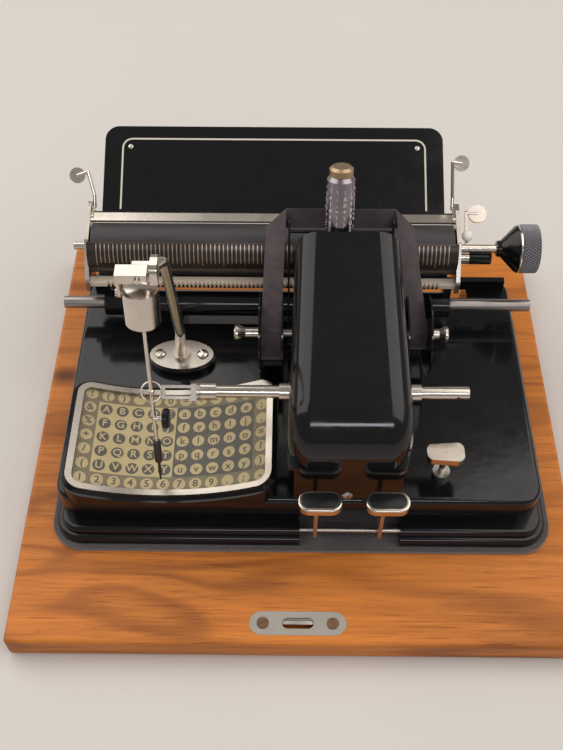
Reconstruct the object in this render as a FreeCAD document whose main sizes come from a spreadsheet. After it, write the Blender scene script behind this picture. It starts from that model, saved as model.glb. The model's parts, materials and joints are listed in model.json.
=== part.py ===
import FreeCAD, Part
import math
import os
import re
import Sketcher

# Index typewriter on its oak baseboard, in millimetres.
# Frame: X to the right, Y to the back, Z up; origin at the middle of the baseboard's underside.

SIZES = {
    # baseboard, strike plate and felt
    "board_length": 330, "board_width": 306, "board_thickness": 18, "board_round": 2.5,
    "strike_length": 55, "strike_width": 14, "strike_thickness": 2, "strike_edge_gap": 5.6,
    "strike_slot_length": 18, "strike_slot_width": 6.4, "strike_screw_spread": 41,
    "wood_screw_head": 3.5,
    "catch_depth": 9, "felt_thickness": 3, "felt_overhang": 3.5,
    # base casting
    "foot_left": 143.5, "foot_right": 147, "foot_front": 93.5, "foot_back": 95.5, "foot_height": 6,
    "foot_round": 16, "plinth_inset": 3.2, "plinth_height": 10.5, "plinth_round": 3,
    "deck_half": 140.5, "deck_front": 82.5, "deck_back": 92.5, "deck_round": 13,
    "base_height": 33, "base_wall": 4, "base_edge_round": 3.5,
    "notch_left": 75, "notch_right": 18, "notch_depth": 24, "key_slot_height": 24, "fixing_y": -4.5,
    "fixing_screw_spread_x": 210, "fixing_screw_spread_y": 100, "fixing_screw_radius": 2.5,
    "fixing_boss_radius": 7,
    # index plate and stylus suspension
    "swing_x": -79.1, "swing_y": -41, "swing_height": 196.5, "tilt_drop": 11.5,
    "index_centre_x": -74.3, "index_centre_y": -43.4, "index_length": 117.5, "index_width": 73.8,
    "index_radius": 144, "index_rim_height": 3.4, "index_rim_width": 3.6, "index_corner": 9,
    "seat_margin": 3.2, "seat_height": 22, "card_thickness": 0.6, "glass_thickness": 1.2,
    "stylus_length": 130, "stylus_lean": 13.4, "grip_distance": 83, "grip_radius": 5.6,
    "grip_thickness": 4,
    "grip_offset": 4.4, "grip_stub_radius": 1.5, "stylus_rod_radius": 1.1, "pointer_radius": 0.9,
    "pointer_sleeve_radius": 2.2, "barrel_radius": 8.9, "barrel_length": 21, "barrel_top": 1.8,
    "barrel_dome": 1.6,
    "bead_radius": 1.9, "ring_distance": 63.9, "yoke_right": 4.6, "yoke_front": 2.5,
    "yoke_back": 4.8, "yoke_gap": 0.3,
    # gooseneck
    "flange_x": -73.4, "flange_y": 18, "flange_length": 39.7, "flange_width": 23.2,
    "flange_thickness": 2.6,
    "flange_boss_height": 4, "flange_screw_spread": 26.5, "flange_screw_radius": 3.6,
    "tube_radius": 3.45,
    "tube_top_radius": 2.5,
    # pointer arm
    "arm_height": 104, "arm_tube_radius": 3.6, "arm_left": -55, "arm_right": 93.5,
    "arm_collar_radius": 4.9,
    "arm_sleeve_radius": 5.1, "arm_sleeve_length": 8.5, "ring_wire": 0.5, "ring_mean_radius": 5.4,
    "fork_bar": 1.6, "fork_gap": 4.2, "bush_left_end": -11.5, "bush_right_end": 67,
    "running_gap": 0.05,
    # type housing and hood
    "hood_x": 27.5, "hood_front": -81, "hood_back": 41, "hood_split": 87.5, "hood_front_half": 34.5,
    "hood_back_half": 30.5, "hood_back_height": 146, "hood_slope": 0.2377, "hood_nose": 28,
    "hood_edge_round": 13, "hood_runout": 20, "hood_wall": 2.5, "housing_front_half": 30.4,
    "housing_back_half": 27,
    "housing_back": 30, "housing_wall": 3, "housing_ledge": 2,
    # type cylinder
    "type_x": 22.4, "carrier_y": 23.9, "carrier_height": 64.9, "type_tilt": 19, "type_base": 77,
    "type_radius": 8, "type_length": 35.5, "type_neck_radius": 6.2, "type_neck_length": 2.5,
    "type_cap_radius": 6.8, "type_cap_length": 5, "spindle_radius": 3,
    # ribbon and spools
    "spool_y": 16.7, "spool_height": 84, "spool_radius": 25, "spool_width": 14.6, "spool_hub": 7,
    "spool_flange": 1, "left_spool_x": -17, "right_spool_x": 70.6, "ribbon_width": 12,
    "ribbon_thickness": 0.6, "left_roll_radius": 16.4, "right_roll_radius": 9.5,
    "ribbon_top_y": 60, "ribbon_top_height": 138, "left_ribbon_x": -14.5, "right_ribbon_x": 61.8,
    # carriage
    "carriage_x": -16.8, "carriage_inner": 228, "side_plate": 2.5, "rod_y": 53, "rod_drop": 31.6,
    "rod_left": -150, "rod_length": 297, "rod_radius": 3.9, "sleeve_radius": 8.2,
    "sleeve_slot": 5, "sleeve_left_gap": 7.4, "sleeve_right_gap": 1.7, "sleeve_post": 5,
    "rod_support_thickness": 4, "rack_y": 51.7, "rack_width": 6, "rack_drop": 15.1,
    "rack_thickness": 3, "rack_pitch": 2.6, "rack_teeth": 80, "rack_tooth_depth": 1.9,
    "platen_y": 72.3, "platen_height": 101.1, "platen_radius": 14.3, "platen_shaft_radius": 2.5,
    "strip_gap": 1.2, "strip_thickness": 0.9, "strip_top_angle": 54, "strip_bottom_angle": -45,
    "pan_gap": 1.4, "feed_roller_radius": 4, "knob_start": 126, "knob_cone_length": 9.4,
    "knob_grip_length": 12.4, "knob_radius": 15.3,
    "table_width": 216, "table_foot_y": 91, "table_foot_rise": 7.9, "table_slope": 64,
    "table_length": 60, "table_thickness": 1.4, "table_lip": 7, "table_rod_radius": 1.5,
    "table_corner": 9,
    "bail_y": 84.9, "bail_rise": 11.6, "bail_width": 7, "bail_arm_width": 3.2, "bail_thickness": 1.5,
    "finger_disc_radius": 4.9, "finger_disc_thickness": 1.6, "finger_arm_radius": 1.1,
    "finger_knee_back": 5, "finger_knee_rise": 6, "left_finger_out": -3.5, "left_finger_back": 14,
    "left_finger_rise": 17, "left_disc_out": -7, "left_disc_drop": 3, "right_finger_out": -1.5,
    "right_finger_back": 16, "right_finger_rise": 25, "right_disc_out": 5.5, "right_disc_drop": 1,
    # keys
    "key_cap_length": 24.8, "key_cap_width": 13, "key_cap_thickness": 5,
    "key_y": -92, "key_top": 72, "print_key_x": 11.7, "space_key_x": 49, "key_lever_offset": 2,
    "key_lever": 2.1,
    "key_pivot_y": -20, "key_pivot_height": 36, "key_rod_radius": 1.6, "back_key_x": 82.4,
    "back_key_y": -63.5, "back_key_top": 78, "back_key_length": 21, "back_key_travel": 8,
    # clearances and small pieces
    "fit_gap": 0.1, "fixing_head": 3, "fixing_screw_grip": 18, "catch_margin": 2,
    "wing_width": 28.5, "bay_depth": 20, "index_rebate": 2.2,
    "key_lug": 4, "key_slot_margin": 22, "key_rod_grip": 4, "stop_rod_y": -86, "stop_rod_height": 26.6,
    "key_lever_height": 6, "key_shank": 4.5, "stem_radius": 2, "collar_radius": 5, "collar_height": 4,
    "back_key_width": 13, "neck_bow": 18, "neck_lean": 4,
    "neck_offset": 11.1, "neck_shoulder_y": 13.5, "neck_shoulder_drop": 3, "neck_rise": 14,
    "neck_waist": 105, "neck_bend": 30, "neck_shoulder_bend": 7, "blade_gap": 6.1,
    "blade_thickness": 3.6, "blade_front": 2, "blade_back": 11, "blade_low": 4, "blade_high": 6.5,
    "blade_round": 4.5, "ear_thickness": 2.3, "ear_reach": 3, "yoke_pin_radius": 1.5,
    "yoke_pin_end": 1.2, "yoke_foot": 2.6,
    "yoke_head": 3.2, "strap_thickness": 1.5, "strap_width": 5, "tilt_pin_radius": 1.2,
    "pin_head": 1, "pin_head_radius": 2.2, "pointer_length": 30, "sleeve_length": 16,
    "pointer_taper": 6,
    "arm_y": -41.5, "ring_reach": 23.6, "fork_lean": 37.3, "bracket_thickness": 3, "bracket_width": 9,
    "bush_depth": 4, "apron_screw_height": 58, "apron_screw_radius": 3.4,
    "axle_radius": 2.5, "carrier_shaft_radius": 3, "carrier_bearing_low": 32.6,
    "carrier_bearing_high": 42,
    "carrier_half": 13, "carrier_cheek": 3, "carrier_width": 12, "left_guide_x": -6,
    "right_guide_x": 61,
    "guide_width": 5, "guide_thickness": 1.2, "guide_crank": 7, "guide_elbow": 0.72,
    "left_knob_length": 15,
    "right_knob_length": 12, "knob_stem_radius": 3.2, "spool_knob_radius": 4.9,
    "housing_axle_x": 24.5, "ribbon_clear": 0.3,
    "support_foot": 18, "support_foot_thickness": 3, "support_width": 18, "support_x": -5,
    "plate_corner": 3,
    "plate_gap": 0.3, "bail_hinge_y": 94.3, "bail_hinge_rise": 11.7, "bail_pin_radius": 1.5,
    "feed_forward": 3.1, "feed_drop": 18.4, "feed_pin_radius": 1.5, "left_shaft_end": 8,
    "knob_hub_length": 3,
    "rail_y": 82, "rail_height": 8,
    # line space lever on the right end
    "space_back": 1, "space_drop": 9, "space_drum_radius": 4.2, "space_drum_length": 21,
    "space_arm_at": 5, "space_arm_width": 4, "space_arm_thickness": 1.6, "space_arm_back": 24,
    "space_arm_rise": 14.5, "space_disc_radius": 5.7, "space_disc_thickness": 1.8,
    "space_disc_out": 7.2, "space_neck_radius": 1.3, "space_pin_radius": 2,
}

document = FreeCAD.newDocument("index_typewriter")
sheet = document.addObject("Spreadsheet::Sheet", "Sizes")
for row, (alias, value) in enumerate(SIZES.items(), start=1):
    sheet.set(f"A{row}", alias)
    sheet.set(f"B{row}", str(value))
    sheet.setAlias(f"B{row}", alias)
document.recompute()

ALIAS = re.compile(r"\b(" + "|".join(sorted(SIZES, key=len, reverse=True)) + r")\b")
reader = document.addObject("App::FeaturePython", "FormulaReader")
reader.addProperty("App::PropertyFloat", "Result")
nodes = []


def formula(text):
    """Spell a formula of size names as a spreadsheet expression."""
    return ALIAS.sub(r"Sizes.\1", str(text))


def number(text):
    """Value of a formula of size names."""
    reader.setExpression("Result", formula(text))
    reader.recompute()
    return reader.Result


def bind(item, **properties):
    """Tie properties such as Length or Placement__Base__x to formulas."""
    for name, text in properties.items():
        item.setExpression(name.replace("__", "."), formula(text))
    return item


def place(item, x="0", y="0", z="0"):
    return bind(item, Placement__Base__x=x, Placement__Base__y=y, Placement__Base__z=z)


def node(label, item):
    """Name a finished sub-part."""
    item.Label = label
    nodes.append(item)
    return item


# ---------------------------------------------------------------- primitives and booleans

def box(x, y, z, length, width, height):
    """Block from its lowest corner."""
    item = document.addObject("Part::Box", "Block")
    bind(item, Length=length, Width=width, Height=height)
    return place(item, x, y, z)


TURNS = {
    "x": FreeCAD.Rotation(FreeCAD.Vector(0, 1, 0), 90),
    "y": FreeCAD.Rotation(FreeCAD.Vector(1, 0, 0), -90),
    "z": FreeCAD.Rotation(),
}


def rod(x, y, z, radius, length, axis="z"):
    """Cylinder from the middle of its first end, along an axis."""
    item = document.addObject("Part::Cylinder", "Rod")
    item.Placement.Rotation = TURNS[axis]
    bind(item, Radius=radius, Height=length)
    return place(item, x, y, z)


def ball(x, y, z, radius):
    item = document.addObject("Part::Sphere", "Ball")
    bind(item, Radius=radius)
    return place(item, x, y, z)


def fuse(*items):
    item = document.addObject("Part::MultiFuse", "Fusion")
    item.Shapes = list(items)
    item.Refine = True
    return item


def cut(base, *tools):
    item = document.addObject("Part::Cut", "Cut")
    item.Base = base
    item.Tool = tools[0] if len(tools) == 1 else fuse(*tools)
    return item


def common(first, second):
    item = document.addObject("Part::Common", "Common")
    item.Base = first
    item.Tool = second
    return item


def group(*items):
    """Separate solids that share one node."""
    item = document.addObject("Part::Compound", "Group")
    item.Links = list(items)
    return item


def tilted(item, angle, y, z, forward=False):
    """Lean an item's own Z to the back, or forward, about the X line through (y, z)."""
    frame = document.addObject("Part::Compound", "Leaning")
    frame.Links = [item]
    turn = "-" if forward else "+"
    back = "+" if forward else "-"
    frame.Placement.Rotation = FreeCAD.Rotation(FreeCAD.Vector(1 if forward else -1, 0, 0), 1)
    bind(frame, Placement__Rotation__Angle=angle,
         Placement__Base__y=f"({y}) - ({y}) * cos({angle}) {back} ({z}) * sin({angle})",
         Placement__Base__z=f"({z}) {turn} ({y}) * sin({angle}) - ({z}) * cos({angle})")
    return frame


# ---------------------------------------------------------------- part design

def body(name):
    return document.addObject("PartDesign::Body", name)


def datum(owner, role):
    return next(item for item in owner.Origin.OriginFeatures if item.Role == role)


def sketch(owner, plane, offset=None):
    """Sketch on a body's own origin plane, moved along the plane's normal."""
    item = owner.newObject("Sketcher::SketchObject", "Sketch")
    item.AttachmentSupport = [(datum(owner, plane), "")]
    item.MapMode = "FlatFace"
    if offset is not None:
        bind(item, AttachmentOffset__Base__z=offset)
    return item


def pin_point(item, geometry, end, across, up):
    """Fix one point of a sketch at two formulas."""
    for kind, text in (("DistanceX", across), ("DistanceY", up)):
        index = item.addConstraint(Sketcher.Constraint(kind, -1, 1, geometry, end, number(text)))
        item.setExpression(f"Constraints[{index}]", formula(text))


def polygon(item, corners):
    """Closed outline with each corner at a pair of formulas."""
    spots = [FreeCAD.Vector(number(across), number(up), 0) for across, up in corners]
    first = item.GeometryCount
    for index, spot in enumerate(spots):
        item.addGeometry(Part.LineSegment(spot, spots[(index + 1) % len(spots)]))
    for index in range(len(spots)):
        after = first + (index + 1) % len(spots)
        item.addConstraint(Sketcher.Constraint("Coincident", first + index, 2, after, 1))
    for index, (across, up) in enumerate(corners):
        pin_point(item, first + index, 1, across, up)
    return item


def rectangle(item, left, right, low, high):
    return polygon(item, [(left, low), (right, low), (right, high), (left, high)])


def pad(owner, profile, length, both_ways=False):
    item = owner.newObject("PartDesign::Pad", "Pad")
    item.Profile = profile
    item.Midplane = both_ways
    bind(item, Length=length)
    document.recompute()
    return item


def pocket(owner, profile, length=None, away=False, both_ways=False):
    """Cut a profile through everything, or to a depth."""
    before = owner.Shape.Volume
    item = owner.newObject("PartDesign::Pocket", "Pocket")
    item.Profile = profile
    item.Reversed = away
    item.Midplane = both_ways
    if length is None:
        item.Type = "ThroughAll"
    else:
        bind(item, Length=length)
    document.recompute()
    if not item.Shape.Volume < before:
        raise RuntimeError(f"{owner.Name}: a pocket cut nothing")
    return item


def revolve(owner, profile, axis):
    item = owner.newObject("PartDesign::Revolution", "Revolution")
    item.Profile = profile
    item.ReferenceAxis = (datum(owner, axis), [""])
    item.Angle = 360
    document.recompute()
    return item


def edge_names(feature, chosen):
    """Names of the edges that a test accepts."""
    return [f"Edge{index}" for index, edge in enumerate(feature.Shape.Edges, start=1) if chosen(edge)]


def along(edge, direction):
    """True for a straight edge along a direction."""
    if edge.Curve.TypeId != "Part::GeomLine":
        return False
    return abs(edge.tangentAt(edge.FirstParameter).dot(direction)) > 0.999


def fillet(owner, feature, radius, chosen):
    item = owner.newObject("PartDesign::Fillet", "Fillet")
    item.Base = (feature, edge_names(feature, chosen))
    bind(item, Radius=radius)
    document.recompute()
    return item


def upright(edge):
    return along(edge, FreeCAD.Vector(0, 0, 1))


def turned(x, y, z, outline, axis="x", angle="0"):
    """Turned piece: outline of (along, radius) pairs about X, or about a Z that leans to the back."""
    item = body("Turned")
    if axis == "x":
        profile = polygon(sketch(item, "XY_Plane"), outline)
        revolve(item, profile, "X_Axis")
    else:
        profile = polygon(sketch(item, "XZ_Plane"), [(radius, high) for high, radius in outline])
        revolve(item, profile, "Z_Axis")
        item.Placement.Rotation = FreeCAD.Rotation(FreeCAD.Vector(-1, 0, 0), 1)
        bind(item, Placement__Rotation__Angle=angle)
    return place(item, x, y, z)


def bar_shape(start, end, width, thickness):
    """Flat bar between two points in an upright plane across X, centred on its middle line."""
    along_bar = end - start
    side = FreeCAD.Vector(0, -along_bar.z, along_bar.y).normalize() * (width / 2)
    lift = FreeCAD.Vector(thickness / 2, 0, 0)
    corners = [start - side - lift, end - side - lift, end + side - lift, start + side - lift]
    face = Part.Face(Part.makePolygon(corners + corners[:1]))
    solid = face.extrude(lift * 2)
    for spot in (start, end):
        disc = Part.makeCylinder(width / 2, thickness, spot - lift, FreeCAD.Vector(1, 0, 0))
        solid = solid.fuse(disc)
    return solid.removeSplitter()


def shaped(shape):
    item = document.addObject("Part::Feature", "Shaped")
    item.Shape = shape
    return item


# ---------------------------------------------------------------- places worked out from the sizes

FELT_TOP = "board_thickness + felt_thickness"
BASE_TOP = f"({FELT_TOP} + base_height)"
TOP_LENGTH = "(2 * deck_half)"
FOOT_FRONT = "(-foot_front)"
BASE_FRONT = "(-deck_front)"
BASE_BACK = "deck_back"
TILT_HEIGHT = "(swing_height - tilt_drop)"
STRIP_INNER = "(platen_radius + strip_gap)"
ROD_HEIGHT = "(platen_height - rod_drop)"
RACK_HEIGHT = "(platen_height - rack_drop)"
FEED_Y = "(platen_y - feed_forward)"
FEED_HEIGHT = "(platen_height - feed_drop)"
BAIL_HEIGHT = "(platen_height + bail_rise)"
HINGE_HEIGHT = "(platen_height + bail_hinge_rise)"
TABLE_HEIGHT = "(platen_height + table_foot_rise)"
SPACE_Y = "(platen_y + space_back)"
SPACE_HEIGHT = "(platen_height - space_drop)"


# ---------------------------------------------------------------- baseboard

STRIKE_Y = "(-board_width / 2 + strike_edge_gap + strike_width / 2)"


def fixing_spots():
    for x in ("-fixing_screw_spread_x / 2", "fixing_screw_spread_x / 2"):
        for side in ("-", "+"):
            yield x, f"(fixing_y {side} fixing_screw_spread_y / 2)"


def stadium(x, y, z, length, width, height):
    """Upright block with half-round ends, from the middle of its underside."""
    reach = f"(({length}) - ({width})) / 2"
    middle = box(f"{x} - {reach}", f"{y} - ({width}) / 2", z, f"({length}) - ({width})", width, height)
    ends = [rod(f"{x} {side} {reach}", y, z, f"({width}) / 2", height) for side in "-+"]
    return fuse(middle, *ends)


def oval(x, y, z, length, width, height):
    """Upright block with an elliptical outline, from the middle of its underside."""
    outline = document.addObject("Part::Ellipse", "Oval")
    bind(outline, MajorRadius=f"({length}) / 2", MinorRadius=f"({width}) / 2")
    item = document.addObject("Part::Extrusion", "Block")
    item.Base = outline
    item.Dir = FreeCAD.Vector(0, 0, 1)
    item.DirMode = "Custom"
    item.Solid = True
    bind(item, LengthFwd=height)
    return place(item, x, y, z)


def screw(x, y, head_bottom, head_radius, head_height, shank):
    """Domed screw standing upright."""
    round_radius = f"({head_radius}) * 1.25"
    dome = common(ball(x, y, f"{head_bottom} + ({head_height}) - {round_radius}", round_radius),
                  rod(x, y, head_bottom, head_radius, head_height))
    return fuse(dome, rod(x, y, f"{head_bottom} - ({shank})", f"({head_radius}) * 0.5", shank))


def baseboard():
    owner = body("Board")
    plank = rectangle(sketch(owner, "XY_Plane"), "-board_length / 2", "board_length / 2",
                      "-board_width / 2", "board_width / 2")
    fillet(owner, pad(owner, plank, "board_thickness"), "board_round", lambda edge: True)
    holes = [stadium("0", STRIKE_Y, "board_thickness - strike_thickness", "strike_length + 2 * fit_gap",
                     "strike_width + 2 * fit_gap", "strike_thickness * 2"),
             box("-strike_slot_length / 2 - catch_margin", f"{STRIKE_Y} - strike_slot_width / 2",
                 "board_thickness - catch_depth", "strike_slot_length + 2 * catch_margin",
                 "strike_slot_width", "catch_depth")]
    for side in ("-", ""):
        holes.append(rod(f"{side}strike_screw_spread / 2", STRIKE_Y, "board_thickness - catch_depth",
                         "wood_screw_head * 0.5", "catch_depth"))
    for x, y in fixing_spots():
        holes.append(rod(x, y, "-1", "fixing_screw_radius", "board_thickness + 2"))
        holes.append(rod(x, y, "-1", "fixing_screw_radius * 2 + fit_gap", "fixing_head + 2"))
    return node("baseboard", cut(owner, *holes))


def strike_plate():
    plate = stadium("0", STRIKE_Y, "board_thickness - strike_thickness", "strike_length",
                    "strike_width", "strike_thickness")
    holes = [stadium("0", STRIKE_Y, "board_thickness - strike_thickness - 1", "strike_slot_length",
                     "strike_slot_width", "strike_thickness + 2")]
    screws = []
    for side in ("-", ""):
        x = f"{side}strike_screw_spread / 2"
        holes.append(rod(x, STRIKE_Y, "board_thickness - strike_thickness - 1", "wood_screw_head * 0.5",
                         "strike_thickness + 2"))
        screws.append(screw(x, STRIKE_Y, "board_thickness", "wood_screw_head", "strike_thickness / 2",
                            "catch_depth - 1"))
    node("strike_plate", cut(plate, *holes))
    node("strike_plate_screws", group(*screws))


def felt_pad():
    cloth = body("Felt")
    outline = rectangle(sketch(cloth, "XY_Plane", "board_thickness"), "-foot_left - felt_overhang",
                        "foot_right + felt_overhang", "-foot_front - felt_overhang",
                        "foot_back + felt_overhang")
    fillet(cloth, pad(cloth, outline, "felt_thickness"), "foot_round + felt_overhang", upright)
    holes = [rod(x, y, "board_thickness - 1", "fixing_screw_radius", "felt_thickness + 2")
             for x, y in fixing_spots()]
    return node("felt_pad", cut(cloth, *holes))


# ---------------------------------------------------------------- base casting

def bay_outline(inset):
    """Back bay and inner notch, grown by an inset, as one outline."""
    back = f"{BASE_BACK} + 20"
    wing = f"({TOP_LENGTH} / 2 - wing_width + ({inset}))"
    bay = f"({BASE_BACK} - bay_depth - ({inset}))"
    notch = f"({bay} - notch_depth)"
    right = f"(notch_right + ({inset}))"
    left = f"(-notch_left - ({inset}))"
    return [(wing, back), (wing, bay), (right, bay), (right, notch), (left, notch), (left, bay),
            (f"-{wing}", bay), (f"-{wing}", back)]


def rounded_block(outline, z, height, corner, rim):
    """Pad with rounded upright edges and a rounded top rim."""
    owner = body("Block")
    plan = rectangle(sketch(owner, "XY_Plane", z), *outline)
    block = fillet(owner, pad(owner, plan, height), corner, upright)
    top = number(f"({z}) + ({height})")
    fillet(owner, block, rim, lambda edge: edge.BoundBox.ZMin > top - 0.01)
    return owner


def prism(points, z, height):
    owner = body("Prism")
    pad(owner, polygon(sketch(owner, "XY_Plane", z), points), height)
    return owner


def base_casting():
    foot = rounded_block(("-foot_left", "foot_right", FOOT_FRONT, "foot_back"),
                         FELT_TOP, "foot_height", "foot_round", "foot_height / 2 - 0.1")
    plinth = rounded_block(("-foot_left + plinth_inset", "foot_right - plinth_inset",
                            f"{FOOT_FRONT} + plinth_inset", BASE_BACK),
                           FELT_TOP, "plinth_height", "foot_round - plinth_inset", "plinth_round")
    walls = rounded_block(("-deck_half", "deck_half", BASE_FRONT, BASE_BACK),
                          FELT_TOP, "base_height", "deck_round", "base_edge_round")
    wall = "base_wall"
    inner = [(f"-{TOP_LENGTH} / 2 + {wall}", f"{BASE_FRONT} + {wall}"),
             (f"{TOP_LENGTH} / 2 - {wall}", f"{BASE_FRONT} + {wall}"),
             (f"{TOP_LENGTH} / 2 - {wall}", f"{BASE_BACK} - {wall}")]
    bay = bay_outline(wall)
    inner += [(bay[0][0], f"{BASE_BACK} - {wall}")] + bay[1:-1] + [(bay[-1][0], f"{BASE_BACK} - {wall}")]
    inner += [(f"-{TOP_LENGTH} / 2 + {wall}", f"{BASE_BACK} - {wall}")]
    owner = cut(fuse(foot, plinth, walls), prism(bay_outline("0"), "0", f"{BASE_TOP} + 1"),
                prism(inner, "0", f"{BASE_TOP} - {wall}"))
    seat_z = f"({BASE_TOP} - {wall})"
    seat = body("Seat")
    block = rectangle(sketch(seat, "XY_Plane", seat_z), "index_centre_x - index_length / 2 - seat_margin",
                      "index_centre_x + index_length / 2 + seat_margin",
                      "index_centre_y - index_width / 2 - seat_margin",
                      "index_centre_y + index_width / 2 + seat_margin")
    fillet(seat, pad(seat, block, "seat_height"), "index_corner + seat_margin", upright)
    bowl = common(index_block("-seat_margin", "index_corner + seat_margin"), index_roll("index_radius"))
    lugs = [box(f"{x} - key_lug / 2", "key_pivot_y - key_lug", "key_pivot_height - key_lug", "key_lug",
                "2 * key_lug", f"{BASE_TOP} - {wall} - key_pivot_height + key_lug + 1") for x in lug_places()]
    bosses = [rod(x, y, FELT_TOP, "fixing_boss_radius", "base_height - 1") for x, y in fixing_spots()]
    neck = oval("flange_x", "flange_y", f"{BASE_TOP} - 1", "flange_length + 2", "flange_width + 2",
                "flange_boss_height + 1")
    solid = fuse(owner, seat, neck, *lugs, *bosses)
    slot = box(f"{KEY_MIDDLE} - {KEY_SLOT} / 2", f"{FOOT_FRONT} - 1", f"{FELT_TOP} - 1", KEY_SLOT,
               f"{BASE_FRONT} - {FOOT_FRONT} + {wall} + 2", "key_slot_height + 1")
    stem = rod("back_key_x", "back_key_y", FELT_TOP, "stem_radius + running_gap", "base_height + 1")
    holes = [slot, bowl, stem,
             rod(KEY_ROD_LEFT, "stop_rod_y", "stop_rod_height", "key_rod_radius",
                 f"{KEY_SLOT} + 2 * key_rod_grip", "x"),
             rod(f"{KEY_MIDDLE} - {PIVOT_REACH}", "key_pivot_y", "key_pivot_height", "key_rod_radius",
                 f"2 * {PIVOT_REACH}", "x")]
    for x, y in fixing_spots():
        holes.append(rod(x, y, f"{FELT_TOP} - 1", "fixing_screw_radius", "fixing_screw_grip + 1"))
    for side in "-+":
        holes.append(rod(f"flange_x {side} flange_screw_spread / 2", "flange_y", FELT_TOP,
                         "flange_screw_radius / 2", "base_height + flange_boss_height + 1"))
    return node("base_casting", cut(solid, *holes))


KEY_MIDDLE = "((print_key_x + space_key_x) / 2)"
KEY_SLOT = "(space_key_x - print_key_x + key_slot_margin)"
KEY_ROD_LEFT = f"({KEY_MIDDLE} - {KEY_SLOT} / 2 - key_rod_grip)"
PIVOT_REACH = "((space_key_x - print_key_x) / 2 + 2 * key_lug)"


def lug_places():
    return f"{KEY_MIDDLE} - {PIVOT_REACH} + key_lug / 2", f"{KEY_MIDDLE} + {PIVOT_REACH} - key_lug / 2"


def base_fixing_screws():
    screws = []
    for x, y in fixing_spots():
        head = rod(x, y, "1", "fixing_screw_radius * 2", "fixing_head")
        screws.append(fuse(head, rod(x, y, "1", "fixing_screw_radius",
                                     f"{FELT_TOP} + fixing_screw_grip - 1 - fit_gap")))
    return node("base_fixing_screws", group(*screws))


# ---------------------------------------------------------------- index plate

def index_roll(radius):
    """Roll about the swing axis; its underside is the index plate's curve."""
    return rod("swing_x", "index_centre_y - index_width", "swing_height", radius, "2 * index_width", "y")


def index_block(inset, corner):
    owner = body("Plate")
    outline = rectangle(sketch(owner, "XY_Plane", BASE_TOP), f"index_centre_x - index_length / 2 + ({inset})",
                        f"index_centre_x + index_length / 2 - ({inset})",
                        f"index_centre_y - index_width / 2 + ({inset})",
                        f"index_centre_y + index_width / 2 - ({inset})")
    block = pad(owner, outline, "2 * seat_height", both_ways=True)
    fillet(owner, block, corner, upright)
    return owner


def index_layer(inset, corner, low, high):
    """Curved sheet between two depths below the swing axis."""
    return cut(common(index_block(inset, corner), index_roll(low)), index_roll(high))


def index_plate():
    card_low = "index_radius"
    card_high = "(index_radius - card_thickness)"
    glass_high = "(index_radius - card_thickness - glass_thickness)"
    rim = index_layer("0", "index_corner", card_low, "index_radius - index_rim_height")
    window = index_block("index_rim_width", "index_corner - index_rim_width")
    rebate = index_layer("index_rebate", "index_corner - index_rebate", "index_radius + 1",
                         f"{glass_high} - running_gap")
    node("index_bezel", cut(rim, window, rebate))
    edge = "(index_rebate + fit_gap)"
    node("index_card", index_layer(edge, f"index_corner - {edge}", card_low, card_high))
    node("index_glass", index_layer(edge, f"index_corner - {edge}", card_high, glass_high))


# ---------------------------------------------------------------- gooseneck

def rounded_path(points, bends):
    """Straight runs joined by tangent arcs, one bend radius per inner point."""
    edges = []
    start = points[0]
    for index, radius in enumerate(bends, start=1):
        before = (points[index - 1] - points[index]).normalize()
        after = (points[index + 1] - points[index]).normalize()
        half = before.getAngle(after) / 2
        reach = radius / math.tan(half)
        inward = (before + after).normalize()
        middle = points[index] + inward * (radius / math.sin(half) - radius)
        first = points[index] + before * reach
        last = points[index] + after * reach
        edges.append(Part.LineSegment(start, first).toShape())
        edges.append(Part.Arc(first, middle, last).toShape())
        start = last
    edges.append(Part.LineSegment(start, points[-1]).toShape())
    return Part.Wire(edges)


def swept(points, bends, first_radius, last_radius):
    """Tapering round bar along the path."""
    path = rounded_path(points, bends)
    rims = []
    for edge, parameter, spot, radius in (
            (path.Edges[0], path.Edges[0].FirstParameter, points[0], first_radius),
            (path.Edges[-1], path.Edges[-1].LastParameter, points[-1], last_radius)):
        rims.append(Part.Wire([Part.makeCircle(radius, spot, edge.tangentAt(parameter))]))
    return path.makePipeShell(rims, True, True)


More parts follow.
